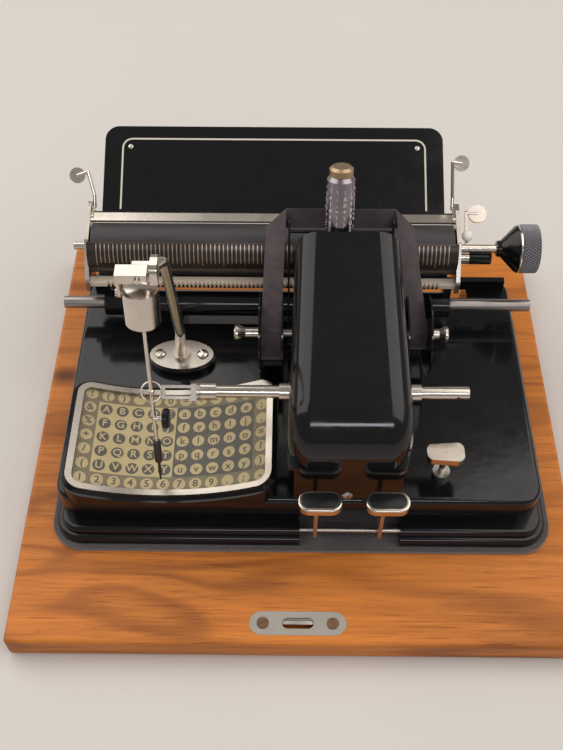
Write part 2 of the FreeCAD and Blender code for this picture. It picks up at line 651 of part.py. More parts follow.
def gooseneck():
    foot = f"({BASE_TOP} + flange_boss_height)"
    top = f"({foot} + flange_thickness)"
    plate = oval("flange_x", "flange_y", foot, "flange_length", "flange_width", "flange_thickness")
    socket = rod("flange_x", "flange_y", top, "tube_radius + 2", "2.5")
    holes = [rod("flange_x", "flange_y", f"{foot} - 1", "tube_radius", "flange_thickness + 5")]
    screws = []
    for side in "-+":
        x = f"flange_x {side} flange_screw_spread / 2"
        holes.append(rod(x, "flange_y", f"{foot} - 1", "flange_screw_radius / 2", "flange_thickness + 2"))
        screws.append(screw(x, "flange_y", top, "flange_screw_radius", "flange_screw_radius / 2", "12"))
    node("gooseneck_flange", cut(fuse(plate, socket), *holes))
    node("gooseneck_screws", group(*screws))
    low = FreeCAD.Vector(number("flange_x"), number("flange_y"), number(foot))
    points = [low, low + FreeCAD.Vector(0, 0, number("neck_rise")),
              FreeCAD.Vector(low.x + number("neck_lean"), low.y - number("neck_bow"), number("neck_waist")),
              FreeCAD.Vector(number("swing_x + neck_offset"), number("swing_y + neck_shoulder_y"),
                             number("swing_height - neck_shoulder_drop")),
              FreeCAD.Vector(number("swing_x + blade_gap + blade_thickness / 2"),
                             number("swing_y + blade_back / 2"), number("swing_height + 1"))]
    bend = number("neck_bend")
    tube = swept(points, [bend, bend, number("neck_shoulder_bend")], number("tube_radius"),
                 number("tube_top_radius"))
    owner = body("Blade")
    outline = rectangle(sketch(owner, "YZ_Plane", "swing_x + blade_gap"), "swing_y - blade_front",
                        "swing_y + blade_back", "swing_height - blade_low", "swing_height + blade_high")
    high = number("swing_height + blade_high")
    fillet(owner, pad(owner, outline, "blade_thickness"), "blade_round",
           lambda edge: along(edge, FreeCAD.Vector(1, 0, 0)) and edge.BoundBox.ZMin > high - 0.1)
    ear = box("swing_x - ear_reach", "swing_y + yoke_back + yoke_gap", "swing_height - ear_reach",
              "ear_reach + blade_gap + 1", "ear_thickness", "2 * ear_reach")
    pin = rod("swing_x", "swing_y - yoke_front - yoke_pin_end", "swing_height", "yoke_pin_radius",
              "yoke_pin_end + yoke_front + yoke_back + yoke_gap + ear_thickness", "y")
    return node("gooseneck_tube", fuse(shaped(tube), owner, ear, pin))


# ---------------------------------------------------------------- swinging stylus

def stylus():
    strap_in = "(barrel_radius + yoke_gap)"
    strap = f"(swing_x - {strap_in} - strap_thickness)"
    low = "(swing_height - yoke_foot)"
    depth = "(yoke_front + yoke_back)"
    block = box(strap, "swing_y - yoke_front", low, f"swing_x + yoke_right - {strap}", depth,
                "yoke_foot + yoke_head")
    arm = box(strap, "swing_y - strap_width / 2", TILT_HEIGHT, "strap_thickness", "strap_width",
              f"{low} - {TILT_HEIGHT} + 1")
    eye = rod(strap, "swing_y", TILT_HEIGHT, "strap_width / 2", "strap_thickness", "x")
    bore = rod("swing_x", "swing_y - yoke_front - 1", "swing_height", "yoke_pin_radius + running_gap",
               f"{depth} + 2", "y")
    pivot = rod(f"{strap} - 1", "swing_y", TILT_HEIGHT, "tilt_pin_radius + running_gap",
                "strap_thickness + 2", "x")
    node("stylus_yoke", cut(fuse(block, arm, eye), bore, pivot))
    tilt = ("stylus_lean", "swing_y", TILT_HEIGHT)
    low = f"({TILT_HEIGHT} + barrel_top - barrel_length)"
    rim = f"({TILT_HEIGHT} + barrel_top)"
    barrel = turned("swing_x", "swing_y", "0",
                    [(low, "0"), (low, "barrel_radius - 2"), (f"{low} + 2", "barrel_radius"),
                     (rim, "barrel_radius"), (rim, "0")], "z")
    crown = "((barrel_radius^2 + barrel_dome^2) / (2 * barrel_dome))"
    dome = common(ball("swing_x", "swing_y", f"{rim} + barrel_dome - {crown}", crown),
                  rod("swing_x", "swing_y", f"{rim} - 1", "barrel_radius", "2 * barrel_dome"))
    pin = rod(f"{strap} - yoke_gap", "swing_y", TILT_HEIGHT, "tilt_pin_radius",
              "yoke_gap + strap_thickness + barrel_radius / 2 + yoke_gap", "x")
    head = rod(f"{strap} - yoke_gap - pin_head", "swing_y", TILT_HEIGHT, "pin_head_radius", "pin_head", "x")
    node("stylus_barrel", tilted(fuse(barrel, dome, pin, head), *tilt))
    tip = f"({TILT_HEIGHT} - stylus_length)"
    bead = ball("swing_x", "swing_y", f"{TILT_HEIGHT} - ring_distance", "bead_radius")
    grip_height = f"({TILT_HEIGHT} - grip_distance)"
    stub = rod("swing_x", "swing_y", grip_height, "grip_stub_radius", "grip_offset", "x")
    node("stylus_rod", tilted(fuse(rod("swing_x", "swing_y", f"{tip} + pointer_length", "stylus_rod_radius",
                                       f"{low} - {tip} - pointer_length"), bead, stub), *tilt))
    node("stylus_grip", tilted(turned("swing_x + grip_offset", "swing_y", grip_height,
                                      [("0", "0"), ("0", "grip_radius - 1"), ("1", "grip_radius"),
                                       ("grip_thickness - 1", "grip_radius"),
                                       ("grip_thickness", "grip_radius - 1"),
                                       ("grip_thickness", "0")]), *tilt))
    pointer = turned("swing_x", "swing_y", tip,
                     [("0", "0"), ("0", "pointer_radius / 2"), ("pointer_taper", "pointer_radius"),
                      ("pointer_length - sleeve_length", "pointer_radius"),
                      ("pointer_length - sleeve_length + 1", "pointer_sleeve_radius"),
                      ("pointer_length", "pointer_sleeve_radius"), ("pointer_length", "0")], "z")
    node("stylus_pointer", tilted(pointer, *tilt))


# ---------------------------------------------------------------- pointer arm

def pointer_arm():
    """Tube that slides and rolls, with the forked ring that leads the stylus."""
    tube = rod("arm_left", "arm_y", "arm_height", "arm_tube_radius", "arm_right - arm_left", "x")
    hole = rod("arm_right - 6", "arm_y - 10", "arm_height", "1", "20", "y")
    node("pointer_arm", cut(tube, hole))
    collar = rod("arm_left + fit_gap", "arm_y", "arm_height", "arm_sleeve_radius", "arm_sleeve_length", "x")
    bore = rod("arm_left", "arm_y", "arm_height", "arm_tube_radius + running_gap",
               "2 * arm_sleeve_length", "x")
    node("arm_collar", cut(collar, bore))
    ring_height = "(arm_height + ring_reach)"
    reach = "(fork_gap / 2 + fork_bar / 2)"
    bars = [box("swing_x + ring_mean_radius", f"arm_y {side} {reach} - fork_bar / 2",
                f"{ring_height} - fork_bar / 2", "arm_left - swing_x - ring_mean_radius",
                "fork_bar", "fork_bar") for side in "-+"]
    cross = box("swing_x + ring_mean_radius + ring_wire - running_gap", f"arm_y - {reach} - fork_bar / 2",
                f"{ring_height} - fork_bar / 2", "fork_bar", f"2 * {reach} + fork_bar", "fork_bar")
    bracket = box("arm_left - bracket_thickness", "arm_y - bracket_width / 2", "arm_height",
                  "bracket_thickness", "bracket_width", "ring_reach + fork_bar / 2")
    foot = rod("arm_left - bracket_thickness", "arm_y", "arm_height", "arm_sleeve_radius",
               "bracket_thickness", "x")
    ring = document.addObject("Part::Torus", "Ring")
    bind(ring, Radius1="ring_mean_radius", Radius2="ring_wire")
    place(ring, "swing_x", "arm_y", ring_height)
    node("arm_fork", tilted(fuse(*bars, cross, bracket, foot, ring), "fork_lean", "arm_y", "arm_height",
                            forward=True))
    bushes = []
    left_cheek = "(hood_x - hood_front_half + bush_depth)"
    right_cheek = "(hood_x + hood_front_half - bush_depth)"
    for x, length in (("bush_left_end", f"{left_cheek} - bush_left_end"),
                      (right_cheek, f"bush_right_end - {right_cheek}")):
        sleeve = rod(x, "arm_y", "arm_height", "arm_collar_radius", length, "x")
        bore = rod(f"{x} - 1", "arm_y", "arm_height", "arm_tube_radius + running_gap", f"{length} + 2", "x")
        bushes.append(cut(sleeve, bore))
    node("arm_bushes", group(*bushes))


# ---------------------------------------------------------------- type housing and hood

def wedge_plan(item, front, back, front_half, back_half):
    return polygon(item, [(f"-({front_half})", front), (front_half, front), (back_half, back),
                          (f"-({back_half})", back)])


def hood_block(inset):
    """Hood outline pulled in by an inset; with an inset it also runs out below and behind."""
    owner = body("Hood")
    past = "0" if inset == "0" else "hood_runout"
    front = f"(hood_front + {inset})"
    low = f"(hood_split - {past})"
    high = f"(hood_back_height - {inset} + {past} * hood_slope)"
    side = polygon(sketch(owner, "YZ_Plane"), [
        (front, low), (f"hood_back + {past}", low), (f"hood_back + {past}", high),
        (front, f"hood_back_height - {inset} - (hood_back - {front}) * hood_slope")])
    bulk = pad(owner, side, "2 * (hood_front_half + 5)", both_ways=True)
    spread = "(hood_front_half - hood_back_half) / (hood_back - hood_front)"
    for side_sign in ("-", ""):
        cheek = polygon(sketch(owner, "XY_Plane"), [
            (f"{side_sign}(hood_front_half - {inset})", front),
            (f"{side_sign}(hood_front_half + 10)", front),
            (f"{side_sign}(hood_front_half + 10)", f"hood_back + {past} + 1"),
            (f"{side_sign}(hood_back_half - {inset} - ({past} + 1) * {spread})", f"hood_back + {past} + 1")])
        pocket(owner, cheek, away=True)
    nose_y = number(front)
    nose = fillet(owner, owner.Tip, f"hood_nose - {inset}",
                  lambda edge: along(edge, FreeCAD.Vector(1, 0, 0)) and edge.BoundBox.YMax < nose_y + 0.01
                  and edge.BoundBox.ZMin > number("hood_split") + 1)
    split = number(low)
    back = number(f"hood_back + {past}")
    fillet(owner, nose, f"hood_edge_round - {inset}", lambda edge: rim_edge(edge, split, nose_y, back))
    return place(owner, "hood_x", "0", "0")


def rim_edge(edge, split, front, back):
    """True on the two long rims where the hood's top turns into its sides."""
    bounds = edge.BoundBox
    if abs(bounds.YMax - bounds.YMin) < 1:
        return bounds.ZMax - bounds.ZMin > 1 and bounds.YMax < front + 0.01
    deep = bounds.YMax - bounds.YMin > 1
    narrow = bounds.XMax - bounds.XMin < number("hood_front_half")
    return bounds.ZMin > split + 1 and deep and narrow


def hood():
    shell = cut(hood_block("0"), hood_block("hood_wall"))
    hole = rod("hood_x - 2 * hood_front_half", "arm_y", "arm_height", "arm_collar_radius",
               "4 * hood_front_half", "x")
    return node("hood", cut(shell, hole))


def type_housing():
    owner = body("Housing")
    front = "(hood_front + 0.5)"
    base = wedge_plan(sketch(owner, "XY_Plane", BASE_TOP), front, "housing_back", "housing_front_half",
                      "housing_back_half")
    pad(owner, base, f"hood_split - {BASE_TOP}")
    ledge = wedge_plan(sketch(owner, "XY_Plane", "hood_split - housing_ledge"), "hood_front", "housing_back",
                       "hood_front_half", "hood_front_half - (hood_front_half - hood_back_half)"
                       " * (housing_back - hood_front) / (hood_back - hood_front)")
    pad(owner, ledge, "housing_ledge")
    inner = wedge_plan(sketch(owner, "XY_Plane"), f"{front} + housing_wall", "housing_back + 1",
                       "housing_front_half - housing_wall", "housing_back_half - housing_wall")
    pocket(owner, inner, away=True)
    place(owner, "hood_x", "0", "0")
    holes = [rod("hood_x - 2 * housing_front_half", y, z, radius, "4 * housing_front_half", "x")
             for y, z, radius in (("spool_y", "spool_height", "axle_radius"),
                                  ("carrier_y", "carrier_height", "carrier_shaft_radius + running_gap"))]
    holes.append(rod("hood_x", f"{front} - 1", "apron_screw_height", "apron_screw_radius / 2",
                     "housing_wall + 2", "y"))
    node("type_housing", cut(owner, *holes))


# ---------------------------------------------------------------- type cylinder and its carrier

TYPE_BORE = "spindle_radius + running_gap"


def type_parts():
    lean = ("type_tilt", "carrier_y", "carrier_height")
    base = "(carrier_height + type_base)"
    barrel = turned("type_x", "carrier_y", base,
                    [("0", TYPE_BORE), ("0", "type_radius - 1"), ("1.5", "type_radius"),
                     ("type_length - type_neck_length", "type_radius"),
                     ("type_length", "type_neck_radius"), ("type_length", TYPE_BORE)], "z")
    node("type_cylinder", tilted(barrel, *lean))
    cap = turned("type_x", "carrier_y", f"{base} + type_length",
                 [("0", "0"), ("0", "type_cap_radius"), ("type_cap_length - 1.5", "type_cap_radius"),
                  ("type_cap_length", "type_cap_radius - 1.5"), ("type_cap_length", "0")], "z")
    node("type_cap", tilted(cap, *lean))
    low = "(carrier_height + carrier_bearing_low - 1)"
    node("type_spindle", tilted(rod("type_x", "carrier_y", low, "spindle_radius",
                                    f"{base} + type_length - plate_gap - {low}"), *lean))
    cheeks = []
    for side in ("- carrier_half", "+ carrier_half - carrier_cheek"):
        x = f"type_x {side}"
        cheeks.append(box(x, "carrier_y - carrier_width / 2", "carrier_height", "carrier_cheek",
                          "carrier_width",
                          "carrier_bearing_high"))
        cheeks.append(rod(x, "carrier_y", "carrier_height", "carrier_width / 2", "carrier_cheek", "x"))
    bridge = box("type_x - carrier_half", "carrier_y - carrier_width / 2",
                 "carrier_height + carrier_bearing_low",
                 "2 * carrier_half", "carrier_width", "carrier_bearing_high - carrier_bearing_low")
    well = rod("type_x", "carrier_y", "carrier_height + carrier_shaft_radius + 1",
               "spindle_radius + running_gap",
               "carrier_bearing_high")
    shaft = rod("left_guide_x", "carrier_y", "carrier_height", "carrier_shaft_radius",
                "right_guide_x - left_guide_x", "x")
    node("type_carrier", fuse(tilted(cut(fuse(bridge, *cheeks), well), *lean), shaft))
    tip = FreeCAD.Vector(0, number("ribbon_top_y - ribbon_thickness - guide_width / 2"),
                         number("ribbon_top_height"))
    hub = FreeCAD.Vector(0, number("carrier_y"), number("carrier_height"))
    elbow = hub + (tip - hub) * number("guide_elbow")
    width = number("guide_width")
    thick = number("guide_thickness")
    crank = number("guide_crank")
    left = FreeCAD.Vector(number("left_guide_x - guide_thickness / 2"), 0, 0)
    right = FreeCAD.Vector(number("right_guide_x + guide_thickness / 2"), 0, 0)
    inner = right - FreeCAD.Vector(crank, 0, 0)
    across = FreeCAD.Vector(1, 0, 0)
    knee = Part.makeCylinder(width / 2, crank + thick, elbow + inner - across * (thick / 2), across)
    wire_start = tip + left - FreeCAD.Vector(thick / 2, 0, number("ribbon_width / 2 + 2"))
    wire = Part.makeCylinder(1, inner.x - left.x + thick, wire_start, across)
    upper = bar_shape(elbow + inner, tip + inner, width, thick)
    guide = bar_shape(hub + left, tip + left, width, thick).fuse(
        [bar_shape(hub + right, elbow + right, width, thick), knee, upper, wire])
    node("ribbon_guide", shaped(guide.removeSplitter()))


# ---------------------------------------------------------------- ribbon and spools

def spools():
    axles = []
    for side, x, knob in (("left", "left_spool_x", "left_knob_length"),
                          ("right", "right_spool_x", "right_knob_length")):
        sign = "-" if side == "left" else ""
        half = "spool_width / 2"
        bore = "axle_radius + running_gap"
        outline = [(f"{sign}(-{half})", bore), (f"{sign}(-{half})", "spool_radius"),
                   (f"{sign}(-{half} + spool_flange)", "spool_radius"),
                   (f"{sign}(-{half} + spool_flange)", "spool_hub"),
                   (f"{sign}({half} - spool_flange)", "spool_hub"),
                   (f"{sign}({half} - spool_flange)", "spool_radius"),
                   (f"{sign}({half})", "spool_radius"), (f"{sign}({half})", bore)]
        node(f"{side}_spool", turned(x, "spool_y", "spool_height", outline))
        flare = [("0", "knob_stem_radius"), ("0.55", "knob_stem_radius"), ("0.85", "spool_knob_radius"),
                 ("0.95", "spool_knob_radius"), ("1", "spool_knob_radius - 0.6"), ("1", "0"), ("0.85", "0"),
                 ("0.85", bore), ("0", bore)]
        node(f"{side}_spool_knob", turned(x, "spool_y", "spool_height",
                                          [(f"{sign}({half} + {knob} * {part})", radius)
                                           for part, radius in flare]))
        roll = f"{side}_roll_radius"
        width = "(spool_width - 2 * spool_flange - 2 * fit_gap)"
        wound = turned(x, "spool_y", "spool_height",
                       [(f"-{width} / 2", "spool_hub"), (f"{width} / 2", "spool_hub"), (f"{width} / 2", roll),
                        (f"-{width} / 2", roll)])
        node(f"{side}_ribbon_roll", wound)
        wall = "housing_axle_x"
        end = f"spool_width / 2 + {knob} * 0.8"
        if side == "left":
            axles.append(rod(f"{x} - {end}", "spool_y", "spool_height", "axle_radius",
                             f"hood_x - {wall} - ({x}) + {end}", "x"))
        else:
            axles.append(rod(f"hood_x + {wall}", "spool_y", "spool_height", "axle_radius",
                             f"{x} + {end} - hood_x - {wall}", "x"))
    node("spool_axles", group(*axles))


def ribbon():
    strips = []
    half = FreeCAD.Vector(number("ribbon_width / 2"), 0, 0)
    top_y = number("ribbon_top_y")
    top_z = number("ribbon_top_height")
    run = top_y - number("spool_y")
    rise = top_z - number("spool_height")
    span = math.hypot(run, rise)
    for side in ("left", "right"):
        roll = number(f"{side}_roll_radius + ribbon_clear")
        slope = math.atan2(rise, run)
        leave = slope + math.acos(roll / span)
        low = FreeCAD.Vector(number(f"{side}_spool_x"), number("spool_y") + roll * math.cos(leave),
                             number("spool_height") + roll * math.sin(leave))
        high = FreeCAD.Vector(number(f"{side}_ribbon_x"), top_y, top_z)
        straight = number("spool_radius + 1") - roll * math.sin(math.pi / 2 - math.acos(roll / span))
        middle = low + FreeCAD.Vector(0, top_y - low.y, top_z - low.z).normalize() * straight
        high = high + FreeCAD.Vector(0, top_y - low.y, top_z - low.z).normalize() * number("ribbon_width / 2")
        face = Part.Face(Part.makePolygon([low - half, low + half, middle + half, high + half, high - half,
                                           middle - half, low - half]))
        outward = FreeCAD.Vector(0, math.cos(leave), math.sin(leave)) * number("ribbon_thickness")
        strips.append(face.extrude(outward))
    node("ribbon_strips", shaped(Part.makeCompound(strips)))
    left = "(left_ribbon_x + ribbon_width / 2 + fit_gap)"
    right = "(right_ribbon_x - ribbon_width / 2 - fit_gap)"
    across = box(left, "ribbon_top_y", "ribbon_top_height - ribbon_width / 2", f"{right} - {left}",
                 "ribbon_thickness", "ribbon_width")
    node("ribbon_crossing", tilted(across, "type_tilt", "ribbon_top_y", "ribbon_top_height"))


# ---------------------------------------------------------------- carriage

LEFT_INNER = "(carriage_x - carriage_inner / 2)"
RIGHT_INNER = "(carriage_x + carriage_inner / 2)"


def guide_rod():
    node("guide_rod", rod("rod_left", "rod_y", ROD_HEIGHT, "rod_radius", "rod_length", "x"))
    owner = body("Support")
    half = "(rod_support_thickness / 2)"
    profile = polygon(sketch(owner, "YZ_Plane"), [
        ("rod_y - support_foot", BASE_TOP), (f"rod_y + {half}", BASE_TOP), (f"rod_y + {half}", ROD_HEIGHT),
        (f"rod_y - {half}", ROD_HEIGHT), (f"rod_y - {half}", f"{BASE_TOP} + support_foot_thickness + 3"),
        (f"rod_y - {half} - 3", f"{BASE_TOP} + support_foot_thickness"),
        ("rod_y - support_foot", f"{BASE_TOP} + support_foot_thickness")])
    pad(owner, profile, "support_width", both_ways=True)
    place(owner, "support_x", "0", "0")
    bore = rod("-rod_length", "rod_y", ROD_HEIGHT, "rod_radius", "2 * rod_length", "x")
    node("rod_support", cut(owner, bore))


def carriage_frame():
    first = f"({LEFT_INNER} + sleeve_left_gap)"
    last = f"({RIGHT_INNER} - sleeve_right_gap)"
    sleeve = rod(first, "rod_y", ROD_HEIGHT, "sleeve_radius", f"{last} - {first}", "x")
    bore = rod(f"{first} - 1", "rod_y", ROD_HEIGHT, "rod_radius + running_gap", f"{last} - {first} + 2", "x")
    slot = box(f"{first} + sleeve_post", "rod_y - sleeve_slot / 2", f"{ROD_HEIGHT} - 2 * sleeve_radius",
               f"{last} - {first} - 2 * sleeve_post", "sleeve_slot", "2 * sleeve_radius")
    posts = [box(x, "rack_y", f"{ROD_HEIGHT} + rod_radius + 1", "sleeve_post", "rack_width",
                 f"{RACK_HEIGHT} - {ROD_HEIGHT} - rod_radius - 1") for x in (first, f"{last} - sleeve_post")]
    node("carriage_sleeve", fuse(cut(sleeve, bore, slot), *posts))
    owner = body("Rack")
    bar = rectangle(sketch(owner, "XY_Plane", RACK_HEIGHT), f"{LEFT_INNER}", f"{RIGHT_INNER}", "rack_y",
                    "rack_y + rack_width")
    pad(owner, bar, "rack_thickness")
    start = "(carriage_x - rack_teeth * rack_pitch / 2)"
    gap = polygon(sketch(owner, "XY_Plane", RACK_HEIGHT), [
        (f"{start} + rack_pitch * 0.15", "rack_y - 0.1"), (f"{start} + rack_pitch * 0.85", "rack_y - 0.1"),
        (f"{start} + rack_pitch * 0.6", "rack_y + rack_tooth_depth"),
        (f"{start} + rack_pitch * 0.4", "rack_y + rack_tooth_depth")])
    first = pocket(owner, gap, "rack_thickness", away=True)
    row = owner.newObject("PartDesign::LinearPattern", "Teeth")
    row.Originals = [first]
    row.Direction = (datum(owner, "X_Axis"), [""])
    row.setExpression("Length", formula("rack_pitch * (rack_teeth - 1)"))
    row.setExpression("Occurrences", formula("rack_teeth"))
    owner.Tip = row
    document.recompute()
    node("carriage_rack", owner)
    for side, x in (("left", f"{LEFT_INNER} - side_plate"), ("right", RIGHT_INNER)):
        owner = body("Plate")
        outline = polygon(sketch(owner, "YZ_Plane", x), [(f"{y}", f"{z}") for y, z in PLATE_OUTLINE])
        plate = pad(owner, outline, "side_plate")
        fillet(owner, plate, "plate_corner", lambda edge: along(edge, FreeCAD.Vector(1, 0, 0)))
        holes = [rod(f"{x} - 1", y, z, radius, "side_plate + 2", "x") for y, z, radius in (
            ("platen_y", "platen_height", "platen_shaft_radius + running_gap"),
            ("bail_hinge_y", HINGE_HEIGHT, "bail_pin_radius + running_gap"),
            (FEED_Y, FEED_HEIGHT, "feed_pin_radius + running_gap"))]
        plate = cut(owner, *holes)
        if side == "right":
            pin = rod(x, SPACE_Y, SPACE_HEIGHT, "space_pin_radius", "side_plate + space_drum_length - 2", "x")
            plate = fuse(plate, pin)
        node(f"{side}_side_plate", plate)


PLATE_OUTLINE = [("rack_y - 1.5", f"{RACK_HEIGHT} - 4"), (f"{FEED_Y}", f"{FEED_HEIGHT} - 4.5"),
                 ("platen_y + 12", "platen_height - 12"), ("bail_hinge_y + 4", f"{HINGE_HEIGHT} - 3"),
                 ("bail_hinge_y + 3.5", f"{HINGE_HEIGHT} + 3.5"),
                 ("bail_hinge_y - 4", f"{HINGE_HEIGHT} + 3.5"),
                 ("platen_y - 4", "platen_height + 9"), ("rack_y - 1.5", f"{RACK_HEIGHT} + 6")]


def line_space_lever():
    x = f"({RIGHT_INNER} + side_plate + plate_gap)"
    drum = rod(x, SPACE_Y, SPACE_HEIGHT, "space_drum_radius", "space_drum_length", "x")
    bore = rod(f"{x} - 1", SPACE_Y, SPACE_HEIGHT, "space_pin_radius + running_gap",
               "space_drum_length + 1 - 1.5", "x")
    middle = number(f"{x} + space_arm_at + space_arm_thickness / 2")
    hub = FreeCAD.Vector(middle, number(SPACE_Y), number(SPACE_HEIGHT))
    top = hub + FreeCAD.Vector(0, number("space_arm_back"), number("space_arm_rise"))
    arm = bar_shape(hub, top, number("space_arm_width"), number("space_arm_thickness"))
    face = FreeCAD.Vector(0, hub.z - top.z, top.y - hub.y).normalize()
    spot = top + FreeCAD.Vector(number("space_disc_out"), 0, 0)
    neck = Part.makeCylinder(number("space_neck_radius"), number("space_disc_out"), top,
                             FreeCAD.Vector(1, 0, 0))
    thick = number("space_disc_thickness")
    disc = Part.makeCylinder(number("space_disc_radius"), thick, spot - face * (thick / 2), face)
    handle = shaped(arm.fuse([neck, disc]).removeSplitter())
    node("line_space_lever", cut(fuse(drum, handle), bore))


def round_platen(inner, outer, angles):
    """Part of a tube round the platen, between its first and last angle above the front."""
    length = "(carriage_inner - 2 * running_gap)"
    x = f"({LEFT_INNER} + running_gap)"
    outside = rod(x, "platen_y", "platen_height", outer, length, "x")
    inside = rod(f"{x} - 1", "platen_y", "platen_height", inner, f"{length} + 2", "x")
    owner = body("Sector")
    reach = "(3 * platen_radius)"
    corners = [("platen_y", "platen_height")]
    for angle in angles:
        corners.append((f"platen_y - {reach} * cos({angle})", f"platen_height + {reach} * sin({angle})"))
    pad(owner, polygon(sketch(owner, "YZ_Plane", LEFT_INNER), corners), "carriage_inner")
    return common(cut(outside, inside), owner)


def platen():
    node("platen", cut(rod(f"{LEFT_INNER} + 2", "platen_y", "platen_height", "platen_radius",
                           "carriage_inner - 4", "x"),
                       rod(LEFT_INNER, "platen_y", "platen_height", "platen_shaft_radius",
                           "carriage_inner", "x")))
    left_end = f"({LEFT_INNER} - side_plate - left_shaft_end)"
    right_end = "(knob_start + knob_cone_length + knob_grip_length - 1)"
    node("platen_shaft", rod(left_end, "platen_y", "platen_height", "platen_shaft_radius",
                             f"{right_end} - {left_end}", "x"))
    knob = turned("knob_start", "platen_y", "platen_height",
                  [("-knob_hub_length", "platen_shaft_radius"),
                   ("-knob_hub_length", "platen_shaft_radius + 2"),
                   ("0", "platen_shaft_radius + 2.5"), ("knob_cone_length", "knob_radius - 0.7"),
                   ("knob_cone_length", "knob_radius"),
                   ("knob_cone_length + knob_grip_length", "knob_radius"),
                   ("knob_cone_length + knob_grip_length", "platen_shaft_radius")])
    node("platen_knob", knob)
    node("scale_strip", round_platen(STRIP_INNER, f"{STRIP_INNER} + strip_thickness",
                                     ["strip_bottom_angle", "0", "strip_top_angle"]))
    node("paper_pan", round_platen("platen_radius + pan_gap", "platen_radius + pan_gap + 1",
                                   ["180", "220", "260"]))
    roller = rod(f"{LEFT_INNER} + 3", FEED_Y, FEED_HEIGHT, "feed_roller_radius", "carriage_inner - 6", "x")
    pins = rod(f"{LEFT_INNER} - side_plate", FEED_Y, FEED_HEIGHT, "feed_pin_radius",
               "carriage_inner + 2 * side_plate", "x")
    node("feed_roller", fuse(roller, pins))


def paper_table():
    owner = body("Sheet")
    half = "(table_width / 2)"
    outline = rectangle(sketch(owner, "XZ_Plane"), f"-{half}", half, "0", "table_length")
    sheet_pad = pad(owner, outline, "table_thickness")
    top = number("table_length")
    fillet(owner, sheet_pad, "table_corner",
           lambda edge: along(edge, FreeCAD.Vector(0, 1, 0)) and edge.BoundBox.ZMin > top - 0.1)
    place(owner, "carriage_x", "table_foot_y", TABLE_HEIGHT)
    pieces = [owner]
    for side in (f"carriage_x - {half}", f"carriage_x + {half} - table_thickness"):
        pieces.append(box(side, "table_foot_y - table_thickness", f"{TABLE_HEIGHT} + 4", "table_thickness",
                          "table_lip", "table_length - 4 - table_corner"))
    pieces.append(rod(LEFT_INNER, "table_foot_y", f"{TABLE_HEIGHT} + table_rod_radius", "table_rod_radius",
                      "carriage_inner", "x"))
    node("paper_table", tilted(fuse(*pieces), "table_slope", "table_foot_y", TABLE_HEIGHT))


def finger_lever(spots):
    """Round wire through the spots, with a flat disc at the last one."""
    radius = number("finger_arm_radius")
    pieces = []
    for start, end in zip(spots, spots[1:]):
        pieces.append(Part.makeCylinder(radius, (end - start).Length, start, end - start))
        pieces.append(Part.makeSphere(radius, end))
    thick = number("finger_disc_thickness")
    face = FreeCAD.Vector(0, -1, 1).normalize()
    disc = Part.makeCylinder(number("finger_disc_radius"), thick, spots[-1] - face * (thick / 2), face)
    return shaped(disc.fuse(pieces).removeSplitter())


def paper_bail():
    left = f"({LEFT_INNER} + plate_gap)"
    right = f"({RIGHT_INNER} - plate_gap - bail_thickness)"
    bar = box(left, "bail_y - bail_width / 2", BAIL_HEIGHT, f"{right} - {left} + bail_thickness",
              "bail_width",
              "bail_thickness")
    hinge = FreeCAD.Vector(0, number("bail_hinge_y"), number(HINGE_HEIGHT))
    near = FreeCAD.Vector(0, number("bail_y"), number(f"{BAIL_HEIGHT} + bail_thickness / 2"))
    arms = []
    for x in (left, right):
        shift = FreeCAD.Vector(number(f"{x} + bail_thickness / 2"), 0, 0)
        arms.append(shaped(bar_shape(hinge + shift, near + shift, number("bail_arm_width"),
                                     number("bail_thickness"))))
    for side, x in (("left", number(f"{left} + finger_arm_radius")),
                    ("right", number(f"{right} + bail_thickness - finger_arm_radius"))):
        foot = hinge + FreeCAD.Vector(x, 0, 0)
        knee = foot + FreeCAD.Vector(0, number("finger_knee_back"), number("finger_knee_rise"))
        top = foot + FreeCAD.Vector(number(f"{side}_finger_out"), number(f"{side}_finger_back"),
                                    number(f"{side}_finger_rise"))
        spot = top + FreeCAD.Vector(number(f"{side}_disc_out"), 0, -number(f"{side}_disc_drop"))
        arms.append(finger_lever([foot, knee, top, spot]))
    reach = "(side_plate + plate_gap + bail_thickness)"
    pins = [rod(f"{LEFT_INNER} - side_plate", "bail_hinge_y", HINGE_HEIGHT, "bail_pin_radius", reach, "x"),
            rod(right, "bail_hinge_y", HINGE_HEIGHT, "bail_pin_radius", reach, "x")]
    node("paper_bail", fuse(bar, *arms, *pins))


def rear_rail():
    z = BASE_TOP
    rail = box(f"-{TOP_LENGTH} / 2 + 4", "rail_y - 2", z, f"{TOP_LENGTH} - 8", "4", "rail_height")
    node("rear_rail", rail)


# ---------------------------------------------------------------- keys

